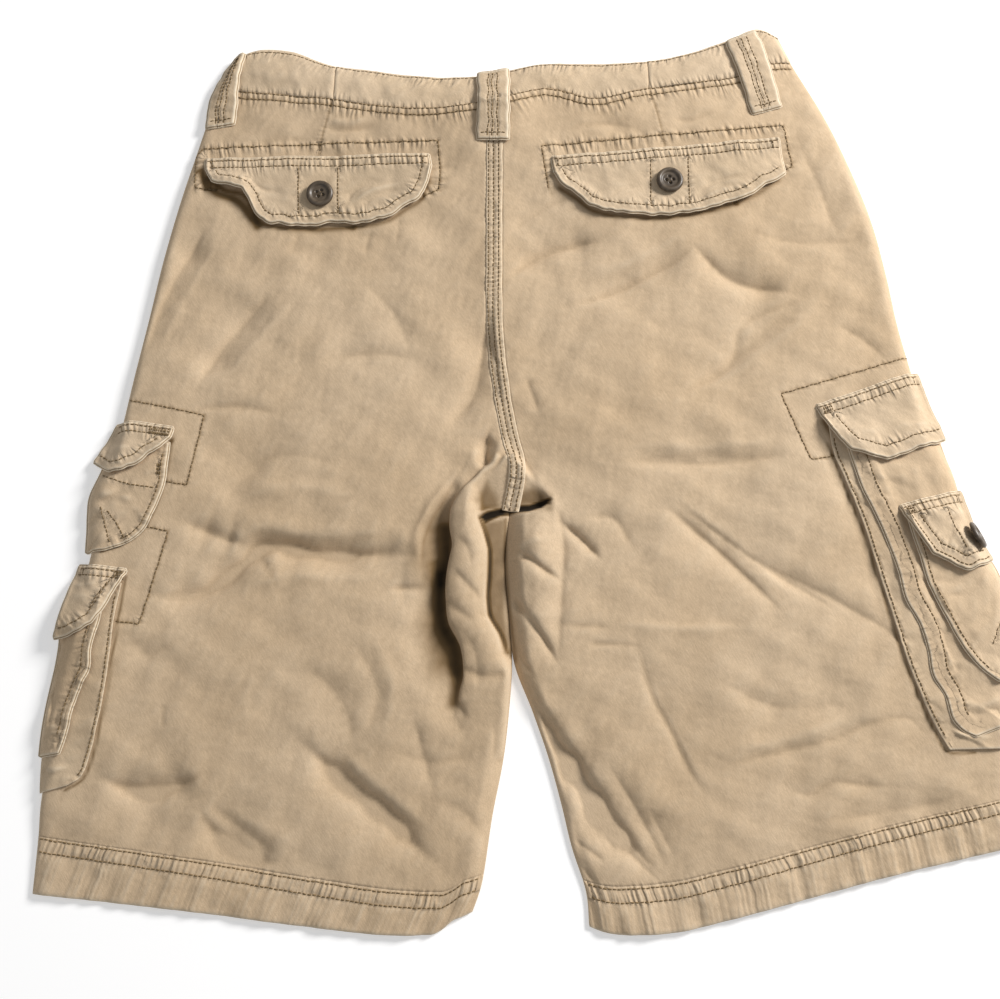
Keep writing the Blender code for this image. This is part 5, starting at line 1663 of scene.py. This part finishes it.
def clear_of(line, edge, distance):
    """Only the points of a line that keep their distance from an edge."""
    away = np.abs(beside(line[:, 0], line[:, 1], edge)[0])
    return line[away > distance]


def make_flap(name, along, down, second_row, seed, group, uprights=(), inward=5.6, fine=0.0):
    """One flap. second_row is how far its second row of stitches is from the first, inward
    how far the free edge's row is from it, and fine the same for a second such row."""
    t = np.linspace(0.0, 1.0, down)
    t = 0.55 * t + 0.45 * (0.5 - 0.5 * np.cos(math.pi * t))
    x, y, rows = between(FLAPS[name], along, t, 0.85)
    y = y + 0.45 * ripples(x, y, 13.0, seed + 2) * t
    rest = drape(x, y, GAP, 45)
    lift = rows[:, 4:5] * ease((t - 0.3) / 0.7)
    if name == "cargo_right_small_flap":
        outward, beyond = from_side_button(x, y)
        lift = lift + 1.6 * np.exp(-((outward + 9.0) / 4.0) ** 2 - (beyond / 11.0) ** 2)
    z = rest + DOUBLE + lift
    small = 0.35 * ripples(x, y, 28.0, seed) + 0.16 * ripples(x, y, 12.0, seed + 1)
    flat = np.stack([x, y], -1)
    side = 1.0 if x[-1, -1] > x[0, -1] else -1.0
    free = flat[:, -1]
    inner = clear_of(shifted(free[::2], inward * side), free, inward - 0.4)
    inner = clear_of(inner, flat[:, 0], second_row + 2.2)
    edge_rows = [clear_of(shifted(free[::2], fine * side), free, fine - 0.3)] if fine else []
    top = shifted(flat[:, 0], -1.4 * side)
    second = clear_of(shifted(flat[:, 0], -(1.4 + second_row) * side), free, 1.5)
    marks = Marks(x)
    pressed(small, x, y, inner, (0.0,), 0.55, (5.5, 3.5), 4.6, 0.5, 0.5, seed, marks)
    pressed(small, x, y, free[::2], (0.0,), 0.25, (2.0, 2.0), 7.0, -0.2, 0.0, seed + 5)
    pressed(small, x, y, top[::3], (0.0, -second_row * side), 0.5, (5.0, 5.0), 3.6, 0.5, 0.2,
            seed + 7, marks)
    for k, line in enumerate(uprights):
        pressed(small, x, y, curved(line), (0.0,), 0.4, (3.5, 3.5), 4.4, 0.5, 0.5, seed + 11 + k,
                marks)
    for left_width, right_width, height, points in FLAP_CREASES.get(name, []):
        crease(small, x, y, left_width, right_width, 1.3 * height, points)
        # painted shade along each trough
        if height < 0:
            marks.darken(x, y, curved(points), 0.6 * right_width, -0.45 * height)
    z = np.maximum(z + small, rest + 0.5 * DOUBLE)
    z[:, 0] -= 0.4
    grid = np.dstack([x, y, z])
    worn_and_shaded = worn_and_shaded_look(grid, 0.5, marks)
    worn_and_shaded = np.maximum(worn_and_shaded, 0.7 * bell(beside(x, y, free)[0], 0.55))
    worn_and_shaded = np.maximum(worn_and_shaded, 0.35 * bell(beside(x, y, flat[:, 0])[0], 0.5))
    piece = put_in_place(name, grid, DOUBLE, DOUBLED, worn_and_shaded, LAYERED_RIM, marks)
    tacks = [np.linspace(top[k], second[k], 5) + [0.9 * side * k, 0.0] for k in (2, -3)]
    lines = [curved(line) for line in uprights]
    sew(group, [inner, *edge_rows, top[1:-1], second, *tacks, *lines], seed)
    if name in BARTACKS:
        sew(group, [straight(row) for row in BARTACKS[name]], seed + 1, 1.9)
    return piece


flaps = {
    "back_pocket_flap_left": make_flap(
        "back_pocket_flap_left", 151, 45, 5.4, 60, "back_pockets",
        [[(-166.5, 206), (-166, 186), (-165, 169)], [(-138, 206), (-137.5, 186), (-137, 170)]]),
    "back_pocket_flap_right": make_flap(
        "back_pocket_flap_right", 151, 45, 5.4, 70, "back_pockets",
        [[(88, 212), (87.5, 194), (87, 176)], [(115, 214), (115, 196), (115, 178)]]),
}
print("back flaps:", {name: len(piece.data.polygons) for name, piece in flaps.items()})

# %% [markdown]
# ## Cargo pockets
#
# The cargo pockets sit over the side seam and wrap round it. A gusset lets the pocket
# stand off the leg, and the pocket's edge, two rows of stitches thick, rolls over it in
# waves. Each pocket is laid over what is there, then raised to its own height and turned
# down at its edges.

# %% Make the cargo pockets
POUCHES = {
    # inner_x, inner_y, side_x, side_y, height
    "cargo_right_gusset": [
        (206, 12, 236, 12, 9), (209, -8, 236, -14, 9.5), (214.5, -22, 241, -27, 9.6),
        (220, -37, 246, -40, 10), (227, -60, 254, -66, 10), (232, -80, 259, -86, 9.6),
        (237, -99, 264, -106, 10), (242, -120, 270, -126, 9.7), (247, -140, 276, -146, 10),
        (258, -174, 292, -176, 9), (266, -193, 310, -190, 8), (273, -206, 314.5, -205, 5),
    ],
    "cargo_right_pocket": [
        (216, 6, 281, 16, 9), (220, -8, 287, -8, 12), (223, -18, 291, -20, 13),
        (227.5, -33, 294.5, -37, 12.3), (233.5, -47, 296, -52, 13.6), (238, -58, 299.6, -60.5, 12.4),
        (242, -70, 306, -72, 13), (247.5, -88, 312.5, -88, 13.7), (251, -107, 315, -106, 12.3),
        (259.5, -124, 317, -122, 13.7), (264, -142, 318.5, -138, 12.5), (266, -158, 319.5, -154, 13.4),
        (273, -171, 320, -167, 12.5), (277, -187, 320, -177, 11.5), (283, -193.5, 319.5, -182, 10),
        (290, -197, 318, -186.5, 8),
    ],
    "cargo_right_small_pocket": [
        (254, -48, 297.5, -47.5, 12), (258, -62, 300.8, -63.5, 15), (262, -78, 308.8, -76.5, 15.3),
        (266, -95, 317.5, -92, 15.2), (274, -114, 320, -112, 15.7), (283, -133, 322, -130, 15),
        (290, -145, 322.7, -140, 14.6), (297, -153, 323, -148, 14), (307, -161, 323, -158, 12),
    ],
    "cargo_left_upper_pocket": [
        (-249, 0, -291, -4, 9), (-250, -12, -296, -18, 11), (-252, -31, -303, -36, 11.5),
        (-258, -48, -303.5, -48, 11.5), (-264, -60, -303, -60, 11), (-274, -68, -303, -68, 10),
        (-288, -73, -303, -74, 7),
    ],
    "cargo_left_lower_gusset": [
        (-275, -97, -309, -97, 9), (-278, -113, -312, -112, 9.5), (-280, -141, -314, -140, 9.5),
        (-282, -165, -316.5, -164, 9.5), (-285, -188, -320, -188, 9), (-289, -208, -322.5, -210, 8),
        (-295, -224, -322.5, -224, 7), (-303, -229, -322, -234, 5),
    ],
    "cargo_left_lower_pocket": [
        (-286, -106, -311.5, -104, 9), (-289, -123, -315.5, -122, 11),
        (-292.5, -140, -315.5, -140, 11.4), (-293, -154, -317, -154, 10.6),
        (-297, -163, -319, -164, 11.4), (-302, -178, -321.5, -178, 10.8),
        (-304.5, -192, -323, -192, 11.2), (-309, -208, -323.5, -210, 8),
    ],
}


POUCH_SEAMS = {
    "cargo_left_upper_pocket": [
        [(-294, -22), (-283, -26), (-272, -29), (-257, -31)],
        [(-293, -44), (-289, -56), (-285, -69)],
        [(-288, -47), (-281, -56), (-275, -66)],
        [(-254.4, -14), (-254.8, -22)],
        [(-255.6, -14), (-256, -22)],
    ],
    "cargo_right_small_pocket": [
        [(322, -108), (312, -122), (305, -138)],
        [(322, -117), (314, -130), (311, -143)],
    ],
}
POUCH_CREASES = {
    # left_width, right_width, height, points
    "cargo_right_gusset": [
        (2, 2.6, -1.2, [(214, -42), (224, -43), (232, -42)]),
        (2, 2.6, -1.4, [(226, -66), (240, -63), (248, -60)]),
        (2, 2.6, -1.2, [(232, -92), (242, -91), (250, -89)]),
        (2, 2.6, -1.4, [(242, -136), (254, -134), (266, -136)]),
        (2, 2.6, -1.2, [(250, -172), (260, -177), (270, -182)]),
        (2.4, 3, -1.4, [(268, -196), (276, -200), (292, -198)]),
        (1.8, 2.2, -1.7, [(264, -188), (272, -192), (282, -201), (300, -203)]),
        (1.6, 2, 1.2, [(268, -201), (276, -196), (290, -201), (302, -206)]),
        (1.6, 2, -1.3, [(252, -176), (262, -186), (268, -200)]),
        (2, 2.4, 1.1, [(270, -192), (282, -197), (302, -198)]),
    ],
    "cargo_right_pocket": [
        (2, 2.6, -1.3, [(226, -25), (233, -30), (243, -26)]),
        (2, 2.6, -1.3, [(238, -60), (246, -64), (256, -60)]),
        (2, 2.4, -1.2, [(248, -92), (256, -98), (268, -94)]),
        (2, 2.4, -1.1, [(262, -128), (272, -131), (280, -127)]),
        (2, 2.4, -1.2, [(266, -152), (276, -155), (284, -151)]),
        (2.6, 3, -1.6, [(276, -180), (290, -186), (312, -178)]),
        (3, 3, 1.2, [(280, -174), (294, -178), (312, -170)]),
        (5, 5, 1, [(262, -20), (270, -50), (286, -58)]),
    ],
    "cargo_right_small_pocket": [
        (3, 4, -1.5, [(268, -92), (280, -96), (292, -90)]),
        (3, 3.4, -1.2, [(274, -106), (290, -104), (302, -92)]),
        (3, 4, -1.2, [(290, -128), (302, -118), (312, -104)]),
    ],
    "cargo_left_upper_pocket": [
        (3, 4, -1.8, [(-301, -44), (-290, -40), (-276, -33), (-262, -36)]),
        (4, 3, 1.4, [(-298, -36), (-282, -36), (-268, -40)]),
        (2.5, 3.4, -1.4, [(-303, -58), (-297, -52), (-291, -48)]),
        (3, 3, -1.2, [(-272, -46), (-268, -54), (-270, -62)]),
    ],
    "cargo_left_lower_pocket": [
        (2.2, 2.6, -1.5, [(-310, -112), (-300, -116), (-292, -122)]),
        (2.2, 2.6, -1.4, [(-314, -136), (-304, -133), (-296, -138)]),
        (2.2, 2.6, -1.4, [(-316, -152), (-306, -156), (-298, -160)]),
        (2.2, 2.6, -1.4, [(-320, -172), (-310, -170), (-303, -176)]),
        (2, 2.4, -1.3, [(-321, -190), (-312, -188), (-306, -196)]),
        (1.8, 2.6, -2, [(-304, -124), (-305, -140), (-309, -156), (-312, -172), (-316, -190)]),
        (1.8, 2.6, -2.2, [(-309, -130), (-311, -150), (-315, -170), (-318, -196)]),
        (1.6, 2.2, -1.6, [(-299, -134), (-302, -150), (-307, -168), (-310, -186)]),
        (2, 2, 1.2, [(-306, -128), (-308, -148), (-312, -170), (-316, -192)]),
        (2.4, 2.6, -2.2, [(-322, -198), (-314, -202), (-307, -200)]),
    ],
    "cargo_left_lower_gusset": [
        (2.2, 2.6, -1.4, [(-300, -150), (-292, -154), (-284, -150)]),
        (2.2, 2.6, -1.4, [(-304, -184), (-296, -180), (-288, -184)]),
        (2.4, 3, -1.8, [(-318, -216), (-308, -214), (-294, -222)]),
        (2, 2.6, -1.6, [(-322, -218), (-314, -224), (-302, -220), (-292, -224)]),
        (2, 2.4, 1.1, [(-316, -220), (-306, -218), (-296, -219)]),
    ],
}
POUCH_SHADES = {
    # the edge that hangs over this piece, how far its shade reaches, amount
    "cargo_right_gusset": [("cargo_right_pocket", 1.3, 1), ("cargo_right_flap", 2, 0.7)],
    "cargo_left_lower_gusset": [("cargo_left_lower_pocket", 3, 1.4), ("cargo_left_lower_flap", 2, 0.9)],
    "cargo_right_pocket": [
        ("cargo_right_small_pocket", 1.6, 0.8),
        ("cargo_right_flap", 1.8, 0.9),
        ("cargo_right_small_flap", 1.8, 0.8),
    ],
    "cargo_right_small_pocket": [("cargo_right_small_flap", 1.8, 0.9)],
    "cargo_left_upper_pocket": [("cargo_left_upper_flap", 2, 1)],
    "cargo_left_lower_pocket": [("cargo_left_lower_flap", 2, 1)],
}


def make_pouch(name, along, across, turns, lip, material, seed, row, pucker=0.4):
    """A pocket that stands off the leg. turns are how far its three edges take to turn, and
    row is how far its stitches are from its front edge."""
    inner_turn, side_turn, end_turn = turns
    t = np.linspace(0.0, 1.0, across)
    t = 0.6 * t + 0.4 * (0.5 - 0.5 * np.cos(math.pi * t))
    x, y, rows = between(POUCHES[name], along, t)
    width = np.hypot(rows[:, 2] - rows[:, 0], rows[:, 3] - rows[:, 1])[:, None]
    down = np.linspace(0.0, 1.0, along)[:, None]
    to_end = (1.0 - down) * travel(rows[:, 0:2])[-1]
    low = GAP + CLOTH
    shape = quarter((width * t + 0.6) / inner_turn)
    shape = shape * quarter(width * (1.0 - t) / side_turn)
    shape = shape * quarter((to_end + 0.6) / end_turn)
    rest = drape(x, y, GAP, 30)
    top = low + (rows[:, 4:5] - low) * shape
    if name in UNDER_BUTTON:
        top = np.minimum(top, np.maximum(side_slope(x, y) - UNDER_BUTTON[name], low))
    z = np.maximum(rest + CLOTH, top)
    edge = np.stack([x, y], -1)[:, 0]
    away = width * t
    wave = uneven(400.0, 26.0, seed + 9, down * travel(edge)[-1] + 20.0)
    small = lip * (0.75 + 0.35 * wave) * bell(away, 4.5)
    small = small + 0.5 * ripples(x, y, 34.0, seed) + 0.2 * ripples(x, y, 13.0, seed + 1)
    side = 1.0 if x[0, -1] > x[0, 0] else -1.0
    line = clear_of(shifted(edge[::3], row * side), edge, row * 0.94)
    marks = Marks(x)
    pressed(small, x, y, line, (0.0,), pucker, (4.0, row), 4.8, 0.5, 0.4, seed, marks)
    if row > 4.0:
        pressed(small, x, y, edge[::3], (0.0,), 0.3, (7.0, 7.0), 7.4, -0.2, 0.2, seed + 2, marks)
    for k, points in enumerate(POUCH_SEAMS.get(name, [])):
        pressed(small, x, y, curved(points), (0.0,), 0.35, (3.0, 3.0), 4.4, 0.5, 0.5, seed + 3 + k,
                marks)
    for k, (left, right, height, points) in enumerate(POUCH_CREASES.get(name, [])):
        crease(small, x, y, left, right, height, points, seed=seed + k)
        # painted shade along each trough
        marks.darken(x, y, curved(points), 1.0, max(0.0, -0.3 * height))
    fall = quarter(width * (1.0 - t) / 6.0)
    z = np.maximum(z + small * fall, rest + 0.75 * CLOTH)
    grid = np.dstack([x, y, z])
    # painted shade under each edge that hangs over this piece
    for over, reach, amount in POUCH_SHADES.get(name, []):
        hanging = [row[0:2] for row in POUCHES[over]] if over in POUCHES else \
            [row[2:4] for row in FLAPS[over]]
        marks.darken(x, y, curved(hanging), reach, amount)
    worn_and_shaded = worn_and_shaded_look(grid, 0.45, marks, (["bottom"], 0.6, 0.6))
    worn_and_shaded = np.maximum(worn_and_shaded, 0.7 * bell(away, 0.55) * (1.0 if lip else 0.5))
    rim = FOLDED_RIM if material is GUSSET else LAYERED_RIM
    put_in_place(name, grid, CLOTH, material, worn_and_shaded, rim, marks, GAP)
    seams = [curved(points) for points in POUCH_SEAMS.get(name, [])]
    sew("cargo_right" if "right" in name else "cargo_left", [line[2:-2], *seams], seed)


for name, along, across, turns, lip, material, seed, row, pucker in (
        ("cargo_right_gusset", 151, 37, (4, 4, 8), 0.0, GUSSET, 80, 2.0, 0.3),
        ("cargo_right_pocket", 171, 65, (2.4, 16, 6), -1.3, PANEL, 90, 9.2, 0.25),
        ("cargo_right_small_pocket", 91, 45, (3, 16, 8), 0.8, PANEL, 100, 2.6, 0.3),
        ("cargo_left_upper_pocket", 61, 41, (3, 14, 8), 0.8, PANEL, 110, 2.8, 0.35),
        ("cargo_left_lower_gusset", 101, 31, (5, 10, 8), 0.0, GUSSET, 120, 1.6, 0.3),
        ("cargo_left_lower_pocket", 81, 25, (2.4, 10, 6), 1.6, PANEL, 130, 5.0, 0.5)):
    make_pouch(name, along, across, turns, lip, material, seed, row, pucker)
for name, along, down, second_row, seed, group, uprights, inward, fine in (
        ("cargo_right_flap", 77, 41, 5.5, 140, "cargo_right", [], 7.8, 0.0),
        ("cargo_right_small_flap", 61, 41, 5.0, 150, "cargo_right",
         [[(281, -46), (285, -58), (291, -74)]], 7.8, 2.0),
        ("cargo_left_upper_flap", 45, 31, 4.5, 160, "cargo_left", [], 5.6, 0.0),
        ("cargo_left_lower_flap", 41, 45, 4.5, 170, "cargo_left",
         [[(-284, -96), (-289, -104), (-294, -114)]], 5.6, 0.0)):
    flaps[name] = make_flap(name, along, down, second_row, seed, group, uprights, inward, fine)
print("pockets:", len(POUCHES), "and flaps:", len(flaps))

# %% [markdown]
# ## Buttons
#
# The buttons are pressed from brown horn-coloured plastic: a low dish with a rounded rim
# and four holes, about 20 mm across. They are sewn through the flap, so a button lies
# with the cloth under it and doesn't turn.

# %% Make the buttons
BUTTONS = {
    # x, y, turn
    "button_back_left": (-150, 184, 0.35), "button_back_right": (101, 195, 0.9),
    SIDE_BUTTON: (*SIDE_PLACE, 0.2),
}
BUTTON_PROFILE = [
    # radius, height
    (7.6, 0.0), (9.0, 0.35), (9.65, 0.95), (9.75, 1.6), (9.5, 2.35), (8.95, 2.95), (8.2, 3.3),
    (7.5, 3.35), (6.9, 3.15), (6.4, 2.75), (6.0, 2.35), (5.6, 2.15), (5.1, 2.08),
    *[(tenths / 10, 2.05) for tenths in (46, 42, 38, 34, 30, 26, 22, 18, 14, 10, 5)],
]
HOLE_PLACE = 2.5         # from the middle of the button to the middle of a hole


def button_material():
    made, tree, shader, place = new_material("horn brown button")
    cloud = ranged(tree, noise(tree, turned(tree, place, 0.5, (1.0, 0.33, 1.0)), 110.0, 4.0),
                   0.35, 0.7)
    dial(shader, Base_Color=mixed(tree, cloud, (0.062, 0.044, 0.028), (0.125, 0.093, 0.062)),
         Roughness=ranged(tree, noise(tree, place, 300.0, 3.0), 0.3, 0.7, 0.34, 0.55),
         Normal=bumped(tree, noise(tree, place, 700.0, 2.0), 0.0001, 0.4))
    return made


HORN = button_material()


def make_button(name):
    bx, by, turn = BUTTONS[name]
    ring = [touch(bx + 6 * math.cos(a), by + 6 * math.sin(a))[1] for a in
            np.linspace(0, math.tau, 12, endpoint=False)]
    axis = sum(ring, Vector((0.0, 0.0, 0.0))).normalized()
    if name == SIDE_BUTTON:
        axis = Vector((SIDE_FALL * SIDE_WAY[0], SIDE_FALL * SIDE_WAY[1], 1.0)).normalized()
    tip = Vector((0.0, 0.0, 1.0)).rotation_difference(axis).to_matrix()
    around = np.linspace(0.0, math.tau, 64, endpoint=False)
    profile = np.array(BUTTON_PROFILE)
    x = profile[:, 0:1] * np.cos(around)
    y = profile[:, 0:1] * np.sin(around)
    z = profile[:, 1:2] + 0.0 * x
    holes = [(HOLE_PLACE * math.cos(angle), HOLE_PLACE * math.sin(angle)) for angle in
             (turn + math.pi / 4 + k * math.pi / 2 for k in range(4))]
    for hole_x, hole_y in holes:
        away = np.hypot(x - hole_x, y - hole_y)
        z = z - 1.3 * ease((1.35 - away) / 0.6) * (profile[:, 0:1] < 5.0)
    points = np.concatenate([np.stack([x, y, z], -1).reshape(-1, 3),
                             [[0, 0, 2.05], [0, 0, 0.0]]])
    points = points @ np.array(tip).T + [bx, by, 0.0]
    low = np.vstack([points[:64:4], points[:64:4] * 0.55 + points[-1] * 0.45, points[-1:]])
    points[:, 2] += max(touch(float(p[0]), float(p[1]))[0] - p[2] for p in low) + 0.25
    rings = len(profile)
    faces = []
    for i in range(64):
        n = (i + 1) % 64
        for r in range(rings - 1):
            a, b, c, d = r * 64 + i, r * 64 + n, (r + 1) * 64 + n, (r + 1) * 64 + i
            faces += [(a, b, c), (a, c, d)]
        faces.append((rings * 64, (rings - 1) * 64 + i, (rings - 1) * 64 + n))
        faces.append((rings * 64 + 1, n, i))
    piece = mesh_object(f"shown_{name}", points, np.array(faces), HORN)
    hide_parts(name)
    tree = BVHTree.FromPolygons(points.tolist(), faces)
    laid.append((tree, points[:, :2].min(axis=0), points[:, :2].max(axis=0)))
    print(name, "from", round(points[:, 2].min(), 1), "to", round(points[:, 2].max(), 1), "mm")
    holes = [tip @ Vector((*hole, 2.05)) for hole in holes]
    return [(bx + hole.x, by + hole.y) for hole in holes]


buttonholes = {name: make_button(name) for name in BUTTONS}

# %% [markdown]
# ## All the rows of stitches
#
# Each row was sewn as soon as its cloth was laid, so later pieces cover it. Each group of
# seams now becomes one object, so a row can be looked at or hidden with its neighbours.

# %% Gather the stitches
for a, b, c, d in buttonholes.values():
    sew("button_threads", [straight([a, c]), straight([b, d])], 15, 6.0, 0.9)
for group, (points, faces) in sewn.items():
    thread = mesh_object(f"stitching_{group}", points, faces, THREAD_BROWN)
print({group: len(points) // 16 for group, (points, _faces) in sewn.items()}, "stitches")
made_here = [o for o in bpy.data.objects if o.name.startswith(("cloth_", "shown_", "stitching_"))]
print(sum(len(o.data.polygons) for o in made_here), "triangles in all the pieces made here")

# %% [markdown]
# ## Floor, light and camera
#
# The shorts lie on a plain pale floor. A large soft lamp from the upper right makes the
# shadows of the folds fall to the lower left, and a bright world fills them.

# %% Floor, light and camera
def floor():
    mesh = bpy.data.meshes.new("floor")
    mesh.from_pydata([(-4, -4, 0), (4, -4, 0), (4, 4, 0), (-4, 4, 0)], [], [(0, 1, 2, 3)])
    made = in_scene("floor", mesh)
    paint, _tree, shader, _place = new_material("plain pale floor")
    dial(shader, Base_Color=(0.8, 0.795, 0.79), Roughness=0.9, Specular_IOR_Level=0.1,
         Emission_Color=(1.0, 1.0, 1.0), Emission_Strength=0.35)
    mesh.materials.append(paint)


def lamp(name, place, size, power, tone):
    light = bpy.data.lights.new(name, "AREA")
    light.shape = "DISK"
    light.size = size
    light.energy = power
    light.color = tone
    made = in_scene(name, light)
    made.location = place
    made.rotation_euler = (-Vector(place)).to_track_quat("-Z", "Y").to_euler()


floor()
lamp("key", (1.85, 1.15, 1.22), 0.75, 86.0, (1.0, 0.985, 0.97))
lamp("fill", (-1.2, -0.6, 1.9), 1.8, 6.0, (0.97, 0.985, 1.0))
world = bpy.data.worlds.new("studio")
world.use_nodes = True
dial(world.node_tree.nodes["Background"], Color=(0.95, 0.97, 1.0), Strength=0.27)
bpy.context.scene.world = world
bpy.context.scene.view_settings.view_transform = "Standard"

lens = bpy.data.cameras.new("camera")
lens.sensor_width = 36.0
lens.lens = 44.348
lens.clip_start = 0.01
camera = in_scene("camera", lens)
camera.location = (-0.021, -0.2137, 0.8314)
camera.rotation_euler = (math.pi / 2 - math.radians(78.0), 0.0, 0.0)
bpy.context.scene.camera = camera
print("camera", tuple(round(v, 3) for v in camera.location))

# %% [markdown]
# ## Finish
#
# The frame keeps a list of the cloth pieces: the size each was cut to, before it was
# sewn and laid, and the area of the cut itself.


# %% Finish
print("finished")
